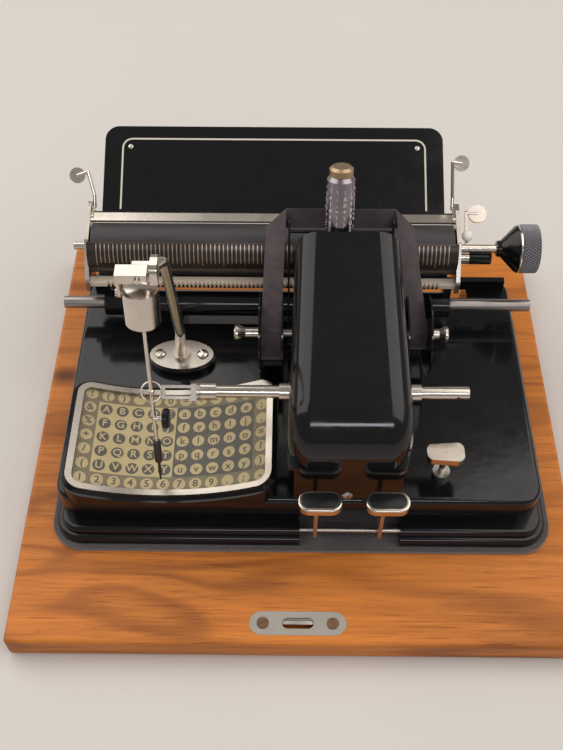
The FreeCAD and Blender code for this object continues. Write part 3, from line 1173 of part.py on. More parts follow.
def key(name, x):
    owner = body("Lever")
    half = "(key_lever_height / 2)"
    cap_low = "(key_top - key_cap_thickness)"
    lever_x = f"({x} - key_lever_offset)"
    profile = polygon(sketch(owner, "YZ_Plane", f"{lever_x} - key_lever / 2"), [
        ("key_y - key_shank / 2", f"key_pivot_height - {half}"),
        ("key_pivot_y", f"key_pivot_height - {half}"),
        (f"key_pivot_y + {half}", f"key_pivot_height - {half} / 2"),
        (f"key_pivot_y + {half}", f"key_pivot_height + {half} / 2"),
        ("key_pivot_y", f"key_pivot_height + {half}"),
        ("key_y + key_shank / 2", f"key_pivot_height + {half}"), ("key_y + key_shank / 2", cap_low),
        ("key_y - key_shank / 2", cap_low)])
    pad(owner, profile, "key_lever")
    pivot = rod(f"{lever_x} - key_lever", "key_pivot_y", "key_pivot_height", "key_rod_radius + running_gap",
                "2 * key_lever", "x")
    node(f"{name}_lever", cut(owner, pivot))
    cap = body("Cap")
    outline = rectangle(sketch(cap, "XY_Plane", cap_low), "-key_cap_length / 2", "key_cap_length / 2",
                        "-key_cap_width / 2", "key_cap_width / 2")
    block = fillet(cap, pad(cap, outline, "key_cap_thickness"), "key_cap_width * 0.48", upright)
    top = number("key_top")
    fillet(cap, block, "1", lambda edge: edge.BoundBox.ZMin > top - 0.01)
    node(f"{name}_cap", place(cap, x, "key_y", "0"))


def keys():
    key("print_key", "print_key_x")
    key("space_key", "space_key_x")
    rods = [rod(f"{KEY_MIDDLE} - {PIVOT_REACH}", "key_pivot_y", "key_pivot_height", "key_rod_radius",
                f"2 * {PIVOT_REACH}", "x"),
            rod(KEY_ROD_LEFT, "stop_rod_y", "stop_rod_height", "key_rod_radius",
                f"{KEY_SLOT} + 2 * key_rod_grip", "x")]
    node("key_rods", group(*rods))
    cap = body("Cap")
    low = "(back_key_top - key_cap_thickness)"
    outline = polygon(sketch(cap, "XY_Plane", low), [
        ("-back_key_length / 2", "-back_key_width / 2 + 1.5"), ("back_key_length / 2", "-back_key_width / 2"),
        ("back_key_length / 2", "back_key_width / 2"), ("-back_key_length / 2", "back_key_width / 2 - 1.5")])
    block = fillet(cap, pad(cap, outline, "key_cap_thickness"), "back_key_width * 0.3", upright)
    place(cap, "back_key_x", "back_key_y", "0")
    stem = rod("back_key_x", "back_key_y", f"{BASE_TOP} - back_key_travel", "stem_radius",
               f"back_key_top - 1 - {BASE_TOP} + back_key_travel")
    node("back_key", fuse(cap, stem))
    collar = rod("back_key_x", "back_key_y", BASE_TOP, "collar_radius", "collar_height")
    node("back_key_collar", cut(collar, rod("back_key_x", "back_key_y", f"{BASE_TOP} - 1",
                                            "stem_radius + running_gap", "collar_height + 2")))


# ---------------------------------------------------------------- build, test and write

baseboard()
strike_plate()
felt_pad()
base_casting()
base_fixing_screws()
index_plate()
gooseneck()
stylus()
pointer_arm()
type_housing()
hood()
type_parts()
spools()
ribbon()
guide_rod()
carriage_frame()
line_space_lever()
platen()
paper_table()
paper_bail()
rear_rail()
keys()
document.recompute()

for item in document.Objects:
    if "Invalid" in item.State or "Error" in item.State:
        raise RuntimeError(f"{item.Name} ({item.Label}) failed: {item.State}")
for item in nodes:
    if item.Shape.isNull() or not item.Shape.isValid() or not item.Shape.Solids:
        raise RuntimeError(f"{item.Label} has no valid solid")

os.makedirs("parts", exist_ok=True)
for item in nodes:
    item.Shape.exportStep(os.path.join("parts", item.Label + ".step"))
print(len(nodes), "nodes")
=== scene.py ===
"""Finishes and fine pieces of an index typewriter, built around its fixed frame. Metres, +Z up."""

import json
import math

import bpy
from bpy.props import FloatProperty, FloatVectorProperty, IntProperty, PointerProperty
from mathutils import Matrix, Vector, noise as lattice


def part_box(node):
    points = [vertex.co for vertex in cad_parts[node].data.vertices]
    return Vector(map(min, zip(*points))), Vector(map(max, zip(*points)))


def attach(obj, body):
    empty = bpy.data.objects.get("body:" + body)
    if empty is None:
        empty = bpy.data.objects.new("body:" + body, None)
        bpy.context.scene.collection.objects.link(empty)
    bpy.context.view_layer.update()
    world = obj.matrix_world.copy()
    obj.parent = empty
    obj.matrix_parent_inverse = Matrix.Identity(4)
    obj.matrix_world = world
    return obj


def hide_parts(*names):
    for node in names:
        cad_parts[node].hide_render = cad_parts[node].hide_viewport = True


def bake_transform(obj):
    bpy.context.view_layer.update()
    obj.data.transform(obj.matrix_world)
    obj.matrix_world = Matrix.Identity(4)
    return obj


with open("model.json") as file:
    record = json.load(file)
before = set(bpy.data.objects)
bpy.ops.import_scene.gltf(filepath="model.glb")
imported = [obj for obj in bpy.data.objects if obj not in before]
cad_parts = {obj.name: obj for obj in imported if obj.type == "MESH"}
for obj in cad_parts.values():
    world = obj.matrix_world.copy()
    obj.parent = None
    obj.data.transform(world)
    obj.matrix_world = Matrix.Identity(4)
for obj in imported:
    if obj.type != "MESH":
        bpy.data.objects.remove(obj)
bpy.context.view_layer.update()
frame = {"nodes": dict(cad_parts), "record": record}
NODES = frame["nodes"]
JOINTS = {joint["name"]: joint for joint in frame["record"]["behaviour"]["joints"]}

bl_info = {
    "name": "Index Typewriter Dressing",
    "version": (1, 0, 0),
    "blender": (4, 5, 0),
    "location": "3D View > Sidebar > Typewriter",
    "description": "Puts finishes, print and small parts on an index typewriter's frame",
    "category": "Object",
}


# -------- places read from the frame

def low(node):
    """Left, front, bottom corner of a frame piece's box."""
    return Vector(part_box(node)[0])


def high(node):
    """Right, back, top corner of a frame piece's box."""
    return Vector(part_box(node)[1])


def middle(node):
    """Middle of a frame piece's box."""
    return (low(node) + high(node)) / 2


def joint_place(name):
    """Point on a joint's axis."""
    return Vector(JOINTS[name]["pos_m"])


SWING = joint_place("yoke_swing")
PLATEN_AXIS = joint_place("platen_turn")
TYPE_AXIS = Vector(JOINTS["cylinder_turn"]["axis"]).normalized()
RIGHT = Vector((1.0, 0.0, 0.0))
FORWARD = Vector((0.0, -1.0, 0.0))
UP = Vector((0.0, 0.0, 1.0))


# -------- settings a user would change

def length(name, text, default):
    """Length in metres."""
    return FloatProperty(name=name, description=text, default=default, unit="LENGTH", precision=5)


def colour(name, text, default):
    """Linear colour."""
    return FloatVectorProperty(name=name, description=text, default=default, subtype="COLOR",
                               size=3, min=0.0, max=1.0)


class TypewriterSizes(bpy.types.PropertyGroup):
    """Sizes of the printed, cut and folded details."""

    column_count: IntProperty(name="Letter columns", description="Fields from left to right",
                              default=12)
    row_count: IntProperty(name="Letter rows", description="Fields from front to back", default=7)
    column_step: length("Column step", "Distance between letter fields across", 0.0094)
    row_step: length("Row step", "Distance between letter fields from front to back", 0.00977)
    first_column: length("First column", "Place of the left letter column", -0.1255)
    first_row: length("First row", "Place of the front letter row", -0.0716)
    field_radius: length("Field radius", "Radius of one letter field", 0.0037)
    letter_height: length("Letter height", "Size of the printed letters", 0.0064)
    tick_step: length("Tick step", "Distance between the scale's ticks", 0.0026)
    tick_length: length("Tick length", "Length of the scale's ticks round the strip", 0.0145)
    stripe_inset: length("Stripe inset", "From the pinstripe to the paper table's edge", 0.0115)
    stripe_width: length("Stripe width", "Width of the pinstripe", 0.0011)
    ribbon_width: length("Ribbon width", "Width of the inked ribbon", 0.012)
    ribbon_pitch: length("Ribbon pitch", "Distance between turns of the wound ribbon", 0.00052)
    knurl_depth: length("Knurl depth", "Height of the grip's diamonds", 0.0010)
    type_height: length("Type height", "Size of the raised letters on the cylinder", 0.0034)


class TypewriterColours(bpy.types.PropertyGroup):
    """Colours of the finishes."""

    oak_pale: colour("Pale wood", "Early wood of the baseboard", (0.60, 0.195, 0.030))
    oak_dark: colour("Dark wood", "Grain lines and knots of the baseboard", (0.16, 0.040, 0.008))
    felt: colour("Felt", "Felt pad under the casting", (0.026, 0.020, 0.021))
    enamel: colour("Enamel", "Black enamel of the castings", (0.006, 0.006, 0.007))
    nickel: colour("Nickel", "Nickel plate", (0.66, 0.60, 0.53))
    card: colour("Card", "Border of the printed card", (0.155, 0.120, 0.052))
    card_pale: colour("Pale print", "Pale fields of the card", (0.47, 0.37, 0.165))
    card_dark: colour("Dark print", "Dark fields and letters of the card", (0.040, 0.032, 0.018))
    ribbon: colour("Ribbon", "Inked cotton ribbon", (0.040, 0.028, 0.032))
    stripe: colour("Stripe", "Pinstripe of the paper table", (0.62, 0.58, 0.49))
    ivory: colour("Ivory", "Ivory button", (0.86, 0.83, 0.76))


def sizes():
    """The sizes in use."""
    return bpy.context.scene.typewriter_sizes


def colours():
    """The colours in use."""
    return bpy.context.scene.typewriter_colours


# -------- modelling helpers

FINISHES = {}
SMALLEST_GAP = 0.000001


def put_down():
    """Leave edit mode and select nothing."""
    if bpy.context.object and bpy.context.object.mode != "OBJECT":
        bpy.ops.object.mode_set(mode="OBJECT")
    bpy.ops.object.select_all(action="DESELECT")


def pick(*things):
    """Select these objects and make the first one active."""
    put_down()
    for thing in things:
        thing.select_set(True)
    bpy.context.view_layer.objects.active = things[0]
    return things[0]


def apply_place(thing):
    """Make text a mesh, and move the object's place, turn and scale into it."""
    pick(thing)
    if thing.type != "MESH":
        bpy.ops.object.convert(target="MESH")
        thing = bpy.context.object
    bpy.ops.object.transform_apply(location=True, rotation=True, scale=True)
    return thing


def join(pieces):
    """Make one object of several."""
    whole = pick(*pieces)
    if len(pieces) > 1:
        bpy.ops.object.join()
    return whole


def face_out(thing):
    """Merge doubles and turn every face outwards."""
    pick(thing)
    bpy.ops.object.mode_set(mode="EDIT")
    bpy.ops.mesh.select_all(action="SELECT")
    bpy.ops.mesh.remove_doubles(threshold=SMALLEST_GAP)
    bpy.ops.mesh.normals_make_consistent(inside=False)
    bpy.ops.object.mode_set(mode="OBJECT")
    return thing


def modify(thing, kind, **settings):
    """Add a modifier and apply it."""
    pick(thing)
    modifier = thing.modifiers.new(kind.title(), kind)
    for key, value in settings.items():
        setattr(modifier, key, value)
    bpy.ops.object.modifier_apply(modifier=modifier.name)
    return thing


def bevel(thing, width, segments=3):
    """Round the sharp edges."""
    return modify(thing, "BEVEL", width=width, segments=segments, limit_method="ANGLE")


def finish(thing, name, look, angle=35.0):
    """Name a finished piece, smooth it and give it its finish."""
    thing = apply_place(thing)
    thing.name = name
    thing.data.name = name
    pick(thing)
    bpy.ops.object.shade_smooth_by_angle(angle=math.radians(angle))
    thing.data.materials.clear()
    thing.data.materials.append(FINISHES[look])
    return thing


def dress(thing, name, body, look, angle=35.0):
    """Finish a piece and let it ride on a body."""
    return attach(finish(thing, name, look, angle), body)


def brick(place, size):
    """Block about its middle."""
    put_down()
    bpy.ops.mesh.primitive_cube_add(size=1.0, location=place, scale=size)
    return apply_place(bpy.context.object)


def stadium_block(place, across, along, depth, round_by):
    """Flat block with half-round ends, its foot at the place."""
    put_down()
    bpy.ops.mesh.primitive_cylinder_add(vertices=64, radius=along / 2, depth=depth,
                                        location=(place.x, place.y, place.z + depth / 2))
    block = apply_place(bpy.context.object)
    for vertex in block.data.vertices:
        vertex.co.x += math.copysign((across - along) / 2, vertex.co.x - place.x)
    return bevel(block, round_by)


def cut_away(thing, tool):
    """Take the tool's shape out of a piece and throw the tool away."""
    modify(thing, "BOOLEAN", object=tool, operation="DIFFERENCE")
    pick(tool)
    bpy.ops.object.delete()
    return thing


def point_to(thing, place, direction):
    """Turn a mesh that stands along Z at the origin, and move it to a place."""
    turn = direction.to_track_quat("Z", "Y").to_matrix().to_4x4()
    thing.data.transform(Matrix.Translation(place) @ turn)
    return thing


def lathe(profile, steps=64):
    """Closed body spun about Z from (radius, height) points; the last joins the first."""
    put_down()
    bpy.ops.mesh.primitive_circle_add(vertices=len(profile), radius=0.01, fill_type="NOTHING")
    thing = bpy.context.object
    for vertex, (radius, height) in zip(thing.data.vertices, profile):
        vertex.co = (radius, 0.0, height)
    pick(thing)
    bpy.ops.object.mode_set(mode="EDIT")
    bpy.ops.mesh.select_all(action="SELECT")
    bpy.ops.mesh.spin(steps=steps, angle=2 * math.pi, center=(0.0, 0.0, 0.0), axis=UP)
    bpy.ops.object.mode_set(mode="OBJECT")
    return face_out(thing)


def wavy_sheet(across, along, place_of):
    """Grid whose corners a function puts in place, from two numbers between 0 and 1."""
    put_down()
    bpy.ops.mesh.primitive_grid_add(x_subdivisions=across, y_subdivisions=along, size=1.0)
    thing = bpy.context.object
    for vertex in thing.data.vertices:
        vertex.co = place_of(vertex.co.x + 0.5, vertex.co.y + 0.5)
    return thing


def solid_sign(sign, size, depth, spread):
    """Centred sign as text, thickened by a depth and made bolder by a spread."""
    put_down()
    bpy.ops.object.text_add()
    text = bpy.context.object
    text.data.body = sign
    text.data.size = size
    text.data.align_x = "CENTER"
    text.data.align_y = "CENTER"
    text.data.extrude = depth
    text.data.offset = spread
    return text


# -------- finishes

def opaque(value):
    """Socket value of a colour or a number."""
    return value if isinstance(value, (int, float)) else (*value, 1.0)


def toned(share, shade):
    """Colour made darker or lighter by a share."""
    return tuple(min(1.0, share * value) for value in shade)


class Paint:
    """One finish: a material whose shader is fed by patterns on Object coordinates."""

    def __init__(self, name, **sockets):
        self.material = FINISHES[name] = bpy.data.materials.new(name)
        self.material.use_nodes = True
        self.tree = self.material.node_tree
        self.shader = self.tree.nodes["Principled BSDF"]
        for key, value in sockets.items():
            socket = key.replace("_", " ").title().replace("Ior", "IOR")
            self.shader.inputs[socket].default_value = opaque(value)

    def node(self, kind, **settings):
        """New node with its inputs and settings given by name."""
        made = self.tree.nodes.new(kind)
        for key, value in settings.items():
            if key in made.inputs:
                made.inputs[key].default_value = value
            else:
                setattr(made, key, value)
        return made

    def link(self, output, socket):
        self.tree.links.new(output, socket)

    def feed(self, output, socket):
        """Link an output to one of the shader's sockets."""
        self.link(output, self.shader.inputs[socket])

    def place(self, stretch=(1.0, 1.0, 1.0), shift=(0.0, 0.0, 0.0)):
        """Object coordinates, stretched and shifted."""
        mapping = self.node("ShaderNodeMapping", Scale=stretch, Location=shift)
        coordinates = self.node("ShaderNodeTexCoord")
        self.link(coordinates.outputs["Object"], mapping.inputs["Vector"])
        return mapping.outputs["Vector"]

    def noise(self, scale, detail=3.0, roughness=0.55, distortion=0.0, **placing):
        """Cloudy pattern between 0 and 1."""
        made = self.node("ShaderNodeTexNoise", Scale=scale, Detail=detail, Roughness=roughness,
                         Distortion=distortion)
        self.link(self.place(**placing), made.inputs["Vector"])
        return made.outputs["Fac"]

    def wave(self, factor, count):
        """Sine of a pattern times a count."""
        product = self.node("ShaderNodeMath", operation="MULTIPLY")
        product.inputs[1].default_value = count
        self.link(factor, product.inputs[0])
        sine = self.node("ShaderNodeMath", operation="SINE")
        self.link(product.outputs[0], sine.inputs[0])
        return sine.outputs[0]

    def ramp(self, factor, *stops):
        """Grey value between (position, value) stops."""
        made = self.node("ShaderNodeValToRGB")
        elements = made.color_ramp.elements
        while len(elements) < len(stops):
            elements.new(0.5)
        for element, (position, value) in zip(elements, stops):
            element.position = position
            element.color = (value, value, value, 1.0)
        self.link(factor, made.inputs["Fac"])
        return made.outputs["Color"]

    def mix(self, factor, first, second):
        """Colour between two; each of the three is an output or a value."""
        made = self.node("ShaderNodeMix", data_type="RGBA")
        for number, value in ((0, factor), (6, first), (7, second)):
            if hasattr(value, "links"):
                self.link(value, made.inputs[number])
            else:
                made.inputs[number].default_value = opaque(value)
        return made.outputs[2]

    def cover(self, pattern, bare, full, under, over):
        """One colour over another, by a pattern's (position, share) at bare and at full."""
        return self.mix(self.ramp(pattern, bare, full), under, over)

    def bump(self, height, strength, distance):
        """Relief in the shading alone."""
        made = self.node("ShaderNodeBump", Strength=strength, Distance=distance)
        self.link(height, made.inputs["Height"])
        self.feed(made.outputs["Normal"], "Normal")


def oak_finish():
    """Oiled board with long pores, cathedral rings and a few knots."""
    pale, dark = tuple(colours().oak_pale), tuple(colours().oak_dark)
    between = tuple((p + d) / 2 for p, d in zip(pale, dark))
    oak = Paint("oiled_oak", specular_ior_level=0.28)
    broad = oak.noise(1.0, 2.0, 0.5, 0.5, stretch=(2.2, 15.0, 15.0), shift=(0.3, 0.1, 0.0))
    rings = oak.ramp(oak.wave(broad, 42.0), (0.0, 0.0), (0.6, 0.2), (1.0, 1.0))
    streaks = oak.noise(3.0, 6.0, 0.7, stretch=(4.0, 75.0, 75.0))
    pores = oak.noise(2.0, 3.0, 0.6, stretch=(16.0, 420.0, 420.0))
    patches = oak.noise(1.3, 2.0, stretch=(5.0, 9.0, 9.0))
    knots = oak.node("ShaderNodeTexVoronoi", Scale=1.0, Randomness=1.0)
    oak.link(oak.place((7.0, 13.0, 13.0), (0.37, 0.21, 0.0)), knots.inputs["Vector"])
    shade = oak.cover(streaks, (0.36, 0.0), (0.66, 1.0), pale, between)
    shade = oak.cover(rings, (0.0, 0.0), (1.0, 0.5), shade, dark)
    shade = oak.cover(pores, (0.56, 0.0), (0.70, 0.75), shade, dark)
    shade = oak.cover(patches, (0.40, 0.0), (0.75, 0.45), shade, toned(1.3, pale))
    spots = oak.ramp(knots.outputs["Distance"], (0.0, 1.0), (0.05, 0.7), (0.11, 0.0))
    oak.feed(oak.mix(spots, shade, toned(0.35, dark)), "Base Color")
    oak.feed(oak.ramp(streaks, (0.3, 0.38), (0.75, 0.56)), "Roughness")
    oak.bump(pores, 0.3, 0.0004)


def felt_finish():
    """Thick grey felt with lint."""
    shade = tuple(colours().felt)
    felt = Paint("grey_felt", roughness=0.95, sheen_weight=0.6, sheen_roughness=0.6)
    fibres = felt.noise(900.0, 4.0, 0.7)
    mottled = felt.cover(fibres, (0.3, 0.0), (0.75, 1.0), shade, toned(2.3, shade))
    lint = felt.cover(felt.noise(420.0, 2.0, 0.5), (0.70, 0.0), (0.78, 0.8), mottled,
                      (0.30, 0.28, 0.27))
    felt.feed(lint, "Base Color")
    felt.bump(fibres, 0.9, 0.0012)


def enamel_finish(name, gloss, shade):
    """Stoved enamel: deep gloss with faint dust and orange peel."""
    enamel = Paint(name, specular_ior_level=0.36)
    haze = enamel.noise(38.0, 5.0, 0.65)
    enamel.feed(enamel.ramp(haze, (0.35, gloss), (0.75, gloss + 0.13)), "Roughness")
    dusty = enamel.cover(enamel.noise(620.0, 2.0, 0.5), (0.74, 0.0), (0.80, 0.35), shade,
                         (0.16, 0.14, 0.12))
    enamel.feed(dusty, "Base Color")
    enamel.bump(enamel.noise(160.0, 1.0), 0.05, 0.0006)


def metal_finish(name, gloss, shade, metallic=1.0):
    """Old plated or cast metal with cloudy tarnish."""
    metal = Paint(name, metallic=metallic)
    cloud = metal.noise(60.0, 5.0, 0.6)
    tarnished = metal.cover(cloud, (0.48, 0.0), (0.85, 0.6), shade, toned(0.72, shade))
    metal.feed(tarnished, "Base Color")
    metal.feed(metal.ramp(cloud, (0.35, gloss), (0.8, gloss + 0.12)), "Roughness")
    metal.bump(metal.noise(700.0, 2.0), 0.06, 0.0003)


def steel_finish():
    """Plain turned steel with light streaks and rust spots."""
    steel = Paint("plain_steel", metallic=1.0)
    streaks = steel.noise(3.0, 4.0, 0.6, stretch=(20.0, 260.0, 260.0))
    steel.feed(steel.ramp(streaks, (0.3, 0.22), (0.75, 0.5)), "Roughness")
    spotted = steel.cover(steel.noise(300.0, 3.0), (0.62, 0.0), (0.75, 0.7),
                          (0.50, 0.47, 0.43), (0.20, 0.15, 0.11))
    steel.feed(spotted, "Base Color")


def rubber_finish():
    """Hard black platen rubber, slightly polished by paper."""
    rubber = Paint("platen_rubber")
    wear = rubber.noise(4.0, 4.0, 0.6, stretch=(8.0, 60.0, 60.0))
    rubber.feed(rubber.ramp(wear, (0.3, 0.38), (0.75, 0.62)), "Roughness")
    rubber.feed(rubber.mix(wear, (0.016, 0.015, 0.016), (0.045, 0.042, 0.043)), "Base Color")
    rubber.bump(rubber.noise(520.0, 3.0), 0.12, 0.0004)


def print_finish(name, shade, aged=0.35):
    """Matt printer's ink or paper, yellowed in patches."""
    shade = tuple(shade)
    ink = Paint(name, roughness=0.62)
    fibre = ink.noise(1600.0, 2.0)
    older = (shade[0] * 0.80, shade[1] * 0.74, shade[2] * 0.62)
    patched = ink.cover(ink.noise(60.0, 5.0, 0.6), (0.35, 0.0), (0.75, aged * 2), shade, older)
    ink.feed(ink.cover(fibre, (0.45, 0.0), (0.9, 0.25), patched, toned(0.8, shade)), "Base Color")
    ink.bump(fibre, 0.08, 0.0002)


def glass_finish():
    """Clear cover sheet that still lets light onto the card."""
    glass = Paint("cover_sheet", base_color=(0.95, 0.95, 0.93), alpha=0.06, specular_ior_level=0.4)
    smear = glass.noise(45.0, 4.0, 0.6)
    glass.feed(glass.ramp(smear, (0.35, 0.03), (0.8, 0.22)), "Roughness")


def ribbon_finish():
    """Inked cotton: fine plain weave with a dull purple cast."""
    shade = tuple(colours().ribbon)
    cotton = Paint("inked_ribbon", roughness=0.72, sheen_weight=0.35)
    threads = []
    for direction in ("X", "Z"):
        wave = cotton.node("ShaderNodeTexWave", Scale=1400.0, Distortion=0.6,
                           bands_direction=direction)
        cotton.link(cotton.place(), wave.inputs["Vector"])
        threads.append(wave.outputs["Color"])
    inked = cotton.cover(cotton.noise(130.0, 4.0, 0.6), (0.35, 0.0), (0.7, 1.0), shade,
                         toned(2.0, shade))
    cotton.feed(inked, "Base Color")
    cotton.bump(cotton.mix(0.5, *threads), 0.35, 0.0003)


# roughness, colour, and how metallic where that isn't full
METALS = {
    "bright_nickel": (0.10, (0.74, 0.69, 0.62)),
    "worn_nickel": (0.24, (0.46, 0.42, 0.37)),
    # carriage rack: nickel painted pale cream, a painted reflection of the bright ceiling
    "painted_sheen_cream": (0.52, (0.86, 0.74, 0.60), 0.35),
    "dull_plate": (0.36, (0.40, 0.37, 0.33)),
    "worn_steel": (0.30, (0.34, 0.31, 0.29)),
    "blued_steel": (0.30, (0.075, 0.070, 0.070)),
    "brown_screw": (0.42, (0.20, 0.12, 0.07)),
    "dull_brass": (0.38, (0.42, 0.31, 0.19)),
    "type_metal": (0.24, (0.30, 0.27, 0.30)),
    "type_face": (0.20, (0.80, 0.74, 0.78)),
    "grey_grip": (0.50, (0.24, 0.23, 0.25)),
    "tick_metal": (0.35, (0.42, 0.34, 0.28)),
    "edge_metal": (0.35, (0.16, 0.12, 0.10)),
}

NODE_FINISH = {
    "oiled_oak": ["baseboard"],
    "grey_felt": ["felt_pad"],
    "black_enamel": ["base_casting", "type_housing", "hood", "carriage_sleeve", "paper_table",
                     "rear_rail", "left_spool", "right_spool"],
    "satin_black": ["paper_pan", "rod_support", "type_carrier", "ribbon_guide", "stylus_grip"],
    "worn_nickel": ["index_bezel", "gooseneck_flange", "left_side_plate", "right_side_plate"],
    "nickel_plate": ["gooseneck_tube", "paper_bail", "platen_shaft", "pointer_arm", "arm_collar",
                     "arm_fork", "stylus_yoke", "stylus_barrel", "stylus_rod", "left_spool_knob",
                     "right_spool_knob", "line_space_lever", "back_key", "print_key_cap",
                     "space_key_cap", "arm_bushes"],
    "painted_sheen_cream": ["carriage_rack"],
    "dull_plate": ["strike_plate"],
    "worn_steel": ["guide_rod"],
    "plain_steel": ["strike_plate_screws", "base_fixing_screws", "gooseneck_screws", "key_rods",
                    "back_key_collar", "spool_axles", "type_spindle", "print_key_lever",
                    "space_key_lever"],
    "platen_rubber": ["platen", "feed_roller"],
    "card_border": ["index_card"],
    "cover_sheet": ["index_glass"],
    "brown_scale": ["scale_strip"],
    "grey_grip": ["platen_knob"],
    "type_metal": ["type_cylinder"],
    "dull_brass": ["type_cap"],
    "blued_steel": ["stylus_pointer"],
    "inked_ribbon": ["left_ribbon_roll", "right_ribbon_roll", "ribbon_strips", "ribbon_crossing"],
}


def mix_finishes():
    """Make every finish once."""
    shades = colours()
    oak_finish()
    felt_finish()
    steel_finish()
    rubber_finish()
    glass_finish()
    ribbon_finish()
    enamel_finish("black_enamel", 0.07, shades.enamel)
    enamel_finish("satin_black", 0.28, shades.enamel)
    enamel_finish("brown_scale", 0.26, (0.030, 0.020, 0.015))
    metal_finish("nickel_plate", 0.17, shades.nickel)
    for name, look in METALS.items():
        metal_finish(name, *look)
    print_finish("card_border", shades.card)
    print_finish("card_pale", shades.card_pale)
    print_finish("card_dark", shades.card_dark, aged=0.1)
    print_finish("stripe_paint", shades.stripe, aged=0.2)
    print_finish("ivory", shades.ivory, aged=0.1)


class TYPEWRITER_OT_finishes(bpy.types.Operator):
    """Make the finishes and give them to the frame's own pieces"""

    bl_idname = "typewriter.finishes"
    bl_label = "Finishes"

    def execute(self, context):
        mix_finishes()
        for look, names in NODE_FINISH.items():
            for name in names:
                thing = NODES[name]
                if not thing.material_slots:
                    thing.data.materials.append(FINISHES[look])
                for slot in thing.material_slots:
                    slot.material = FINISHES[look]
        return {"FINISHED"}


# -------- printed card

LETTER_ROWS = ["123456789.:-", "(UVWXYuvwxy)", "/PQRSTpqrst?", "+KLMNOklmno=", "%FGHIJfghij,",
               "&ABCDEabcde;", "!()':0=+-\"?/"]
LETTERS_ACROSS = 5
CARD_THICKNESS = 0.0006
CARD_REACH = SWING.z - low("index_card").z - CARD_THICKNESS
PANEL_LIFT = 0.00003
FIELD_LIFT = 0.0001
SIGN_LIFT = 0.00016
INK_THICKNESS = 0.00002
SIGN_SPREAD = 0.00012


def on_card(x, y, lift):
    """Point at a lift above the curved card, and how far it leans to the right."""
    lean = math.asin((x - SWING.x) / CARD_REACH)
    reach = CARD_REACH - lift
    return Vector((SWING.x + reach * math.sin(lean), y, SWING.z - reach * math.cos(lean))), lean


def letter_fields():
    """Place, row, column and sign of every letter field."""
    size = sizes()
    for row in range(size.row_count):
        for column in range(size.column_count):
            x = size.first_column + column * size.column_step
            y = size.first_row + row * size.row_step
            yield x, y, row, column, LETTER_ROWS[row][column]


def lay_on_card(thing, x, y, lift):
    """Lay a flat thing on the card, leaning with it."""
    place, lean = on_card(x, y, lift)
    thing.location = place
    thing.rotation_euler = (0.0, -lean, 0.0)
    return apply_place(thing)


def letter_disc(radius):
    """Printed disc of one letter field."""
    put_down()
    bpy.ops.mesh.primitive_cylinder_add(vertices=28, radius=radius, depth=2 * INK_THICKNESS)
    return bpy.context.object


def curved_panel(name, left, right, front, back, look):
    """Printed panel that follows the card's curve."""
    panel = wavy_sheet(24, 2, lambda u, v: on_card(left + u * (right - left),
                                                   front + v * (back - front), PANEL_LIFT)[0])
    modify(panel, "SOLIDIFY", thickness=INK_THICKNESS, offset=-1.0)
    return dress(panel, name, "root", look)


class TYPEWRITER_OT_card(bpy.types.Operator):
    """Print the letter card"""

    bl_idname = "typewriter.card"
    bl_label = "Letter card"

    def execute(self, context):
        size = sizes()
        front = size.first_row + size.row_step / 2
        back = size.first_row + (size.row_count - 1.5) * size.row_step
        edges = [size.first_column + size.column_step * (0.5 + half * LETTERS_ACROSS)
                 for half in range(3)]
        curved_panel("card_capitals", edges[0], edges[1], front, back, "card_pale")
        curved_panel("card_small_letters", edges[1], edges[2], front, back, "card_dark")
        discs = {"pale": [], "ink": []}
        signs = {"pale": [], "ink": []}
        for x, y, row, column, sign in letter_fields():
            capital = 1 <= column <= LETTERS_ACROSS and 1 <= row <= LETTERS_ACROSS
            disc = lay_on_card(letter_disc(size.field_radius), x, y, FIELD_LIFT)
            discs["ink" if capital else "pale"].append(disc)
            text = solid_sign(sign, size.letter_height, INK_THICKNESS, SIGN_SPREAD)
            signs["pale" if capital else "ink"].append(lay_on_card(text, x, y, SIGN_LIFT))
        for kind, printed in (("fields", discs), ("signs", signs)):
            for shade, look in (("pale", "card_pale"), ("ink", "card_dark")):
                dress(join(printed[shade]), f"letter_{kind}_{shade}", "root", look)
        return {"FINISHED"}


# -------- felt pad

FELT_CORNER = 0.0195
FELT_FRAY = 0.00035
FRAY_FROM = 0.9
FELT_EASE = 0.0001
FELT_EDGE_ROUND = 0.0007


class TYPEWRITER_OT_felt(bpy.types.Operator):
    """Cut the felt pad with its frayed edge"""

    bl_idname = "typewriter.felt"
    bl_label = "Felt pad"

    def execute(self, context):
        foot, top = low("felt_pad"), high("felt_pad")
        centre = (foot + top) / 2
        half_width, half_depth = (top.x - foot.x) / 2, (top.y - foot.y) / 2
        width, depth = 2 * half_width, 2 * half_depth

        def place_of(u, v):
            x, y = (u - 0.5) * width, (v - 0.5) * depth
            across, along = abs(x) - half_width + FELT_CORNER, abs(y) - half_depth + FELT_CORNER
            if across > 0.0 and along > 0.0:
                round_x = across * math.sqrt(1.0 - (along / FELT_CORNER) ** 2 / 2)
                round_y = along * math.sqrt(1.0 - (across / FELT_CORNER) ** 2 / 2)
                x = math.copysign(half_width - FELT_CORNER + round_x, x)
                y = math.copysign(half_depth - FELT_CORNER + round_y, y)
            place = Vector((x, y, 0.0))
            if max(across, along) / FELT_CORNER > FRAY_FROM:
                fray = lattice.noise(place * 260.0) * 0.6 + lattice.noise(place * 900.0) * 0.4
                place -= place.normalized() * FELT_FRAY * (1.0 + fray)
            return centre + place

        pad = wavy_sheet(150, 100, place_of)
        modify(pad, "SOLIDIFY", thickness=top.z - foot.z - FELT_EASE, offset=0.0)
        bevel(pad, FELT_EDGE_ROUND, 2)
        pad = dress(pad, "felt_cloth", "root", "grey_felt", 60.0)
        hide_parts("felt_pad")
        return {"FINISHED"}


# -------- inked ribbon

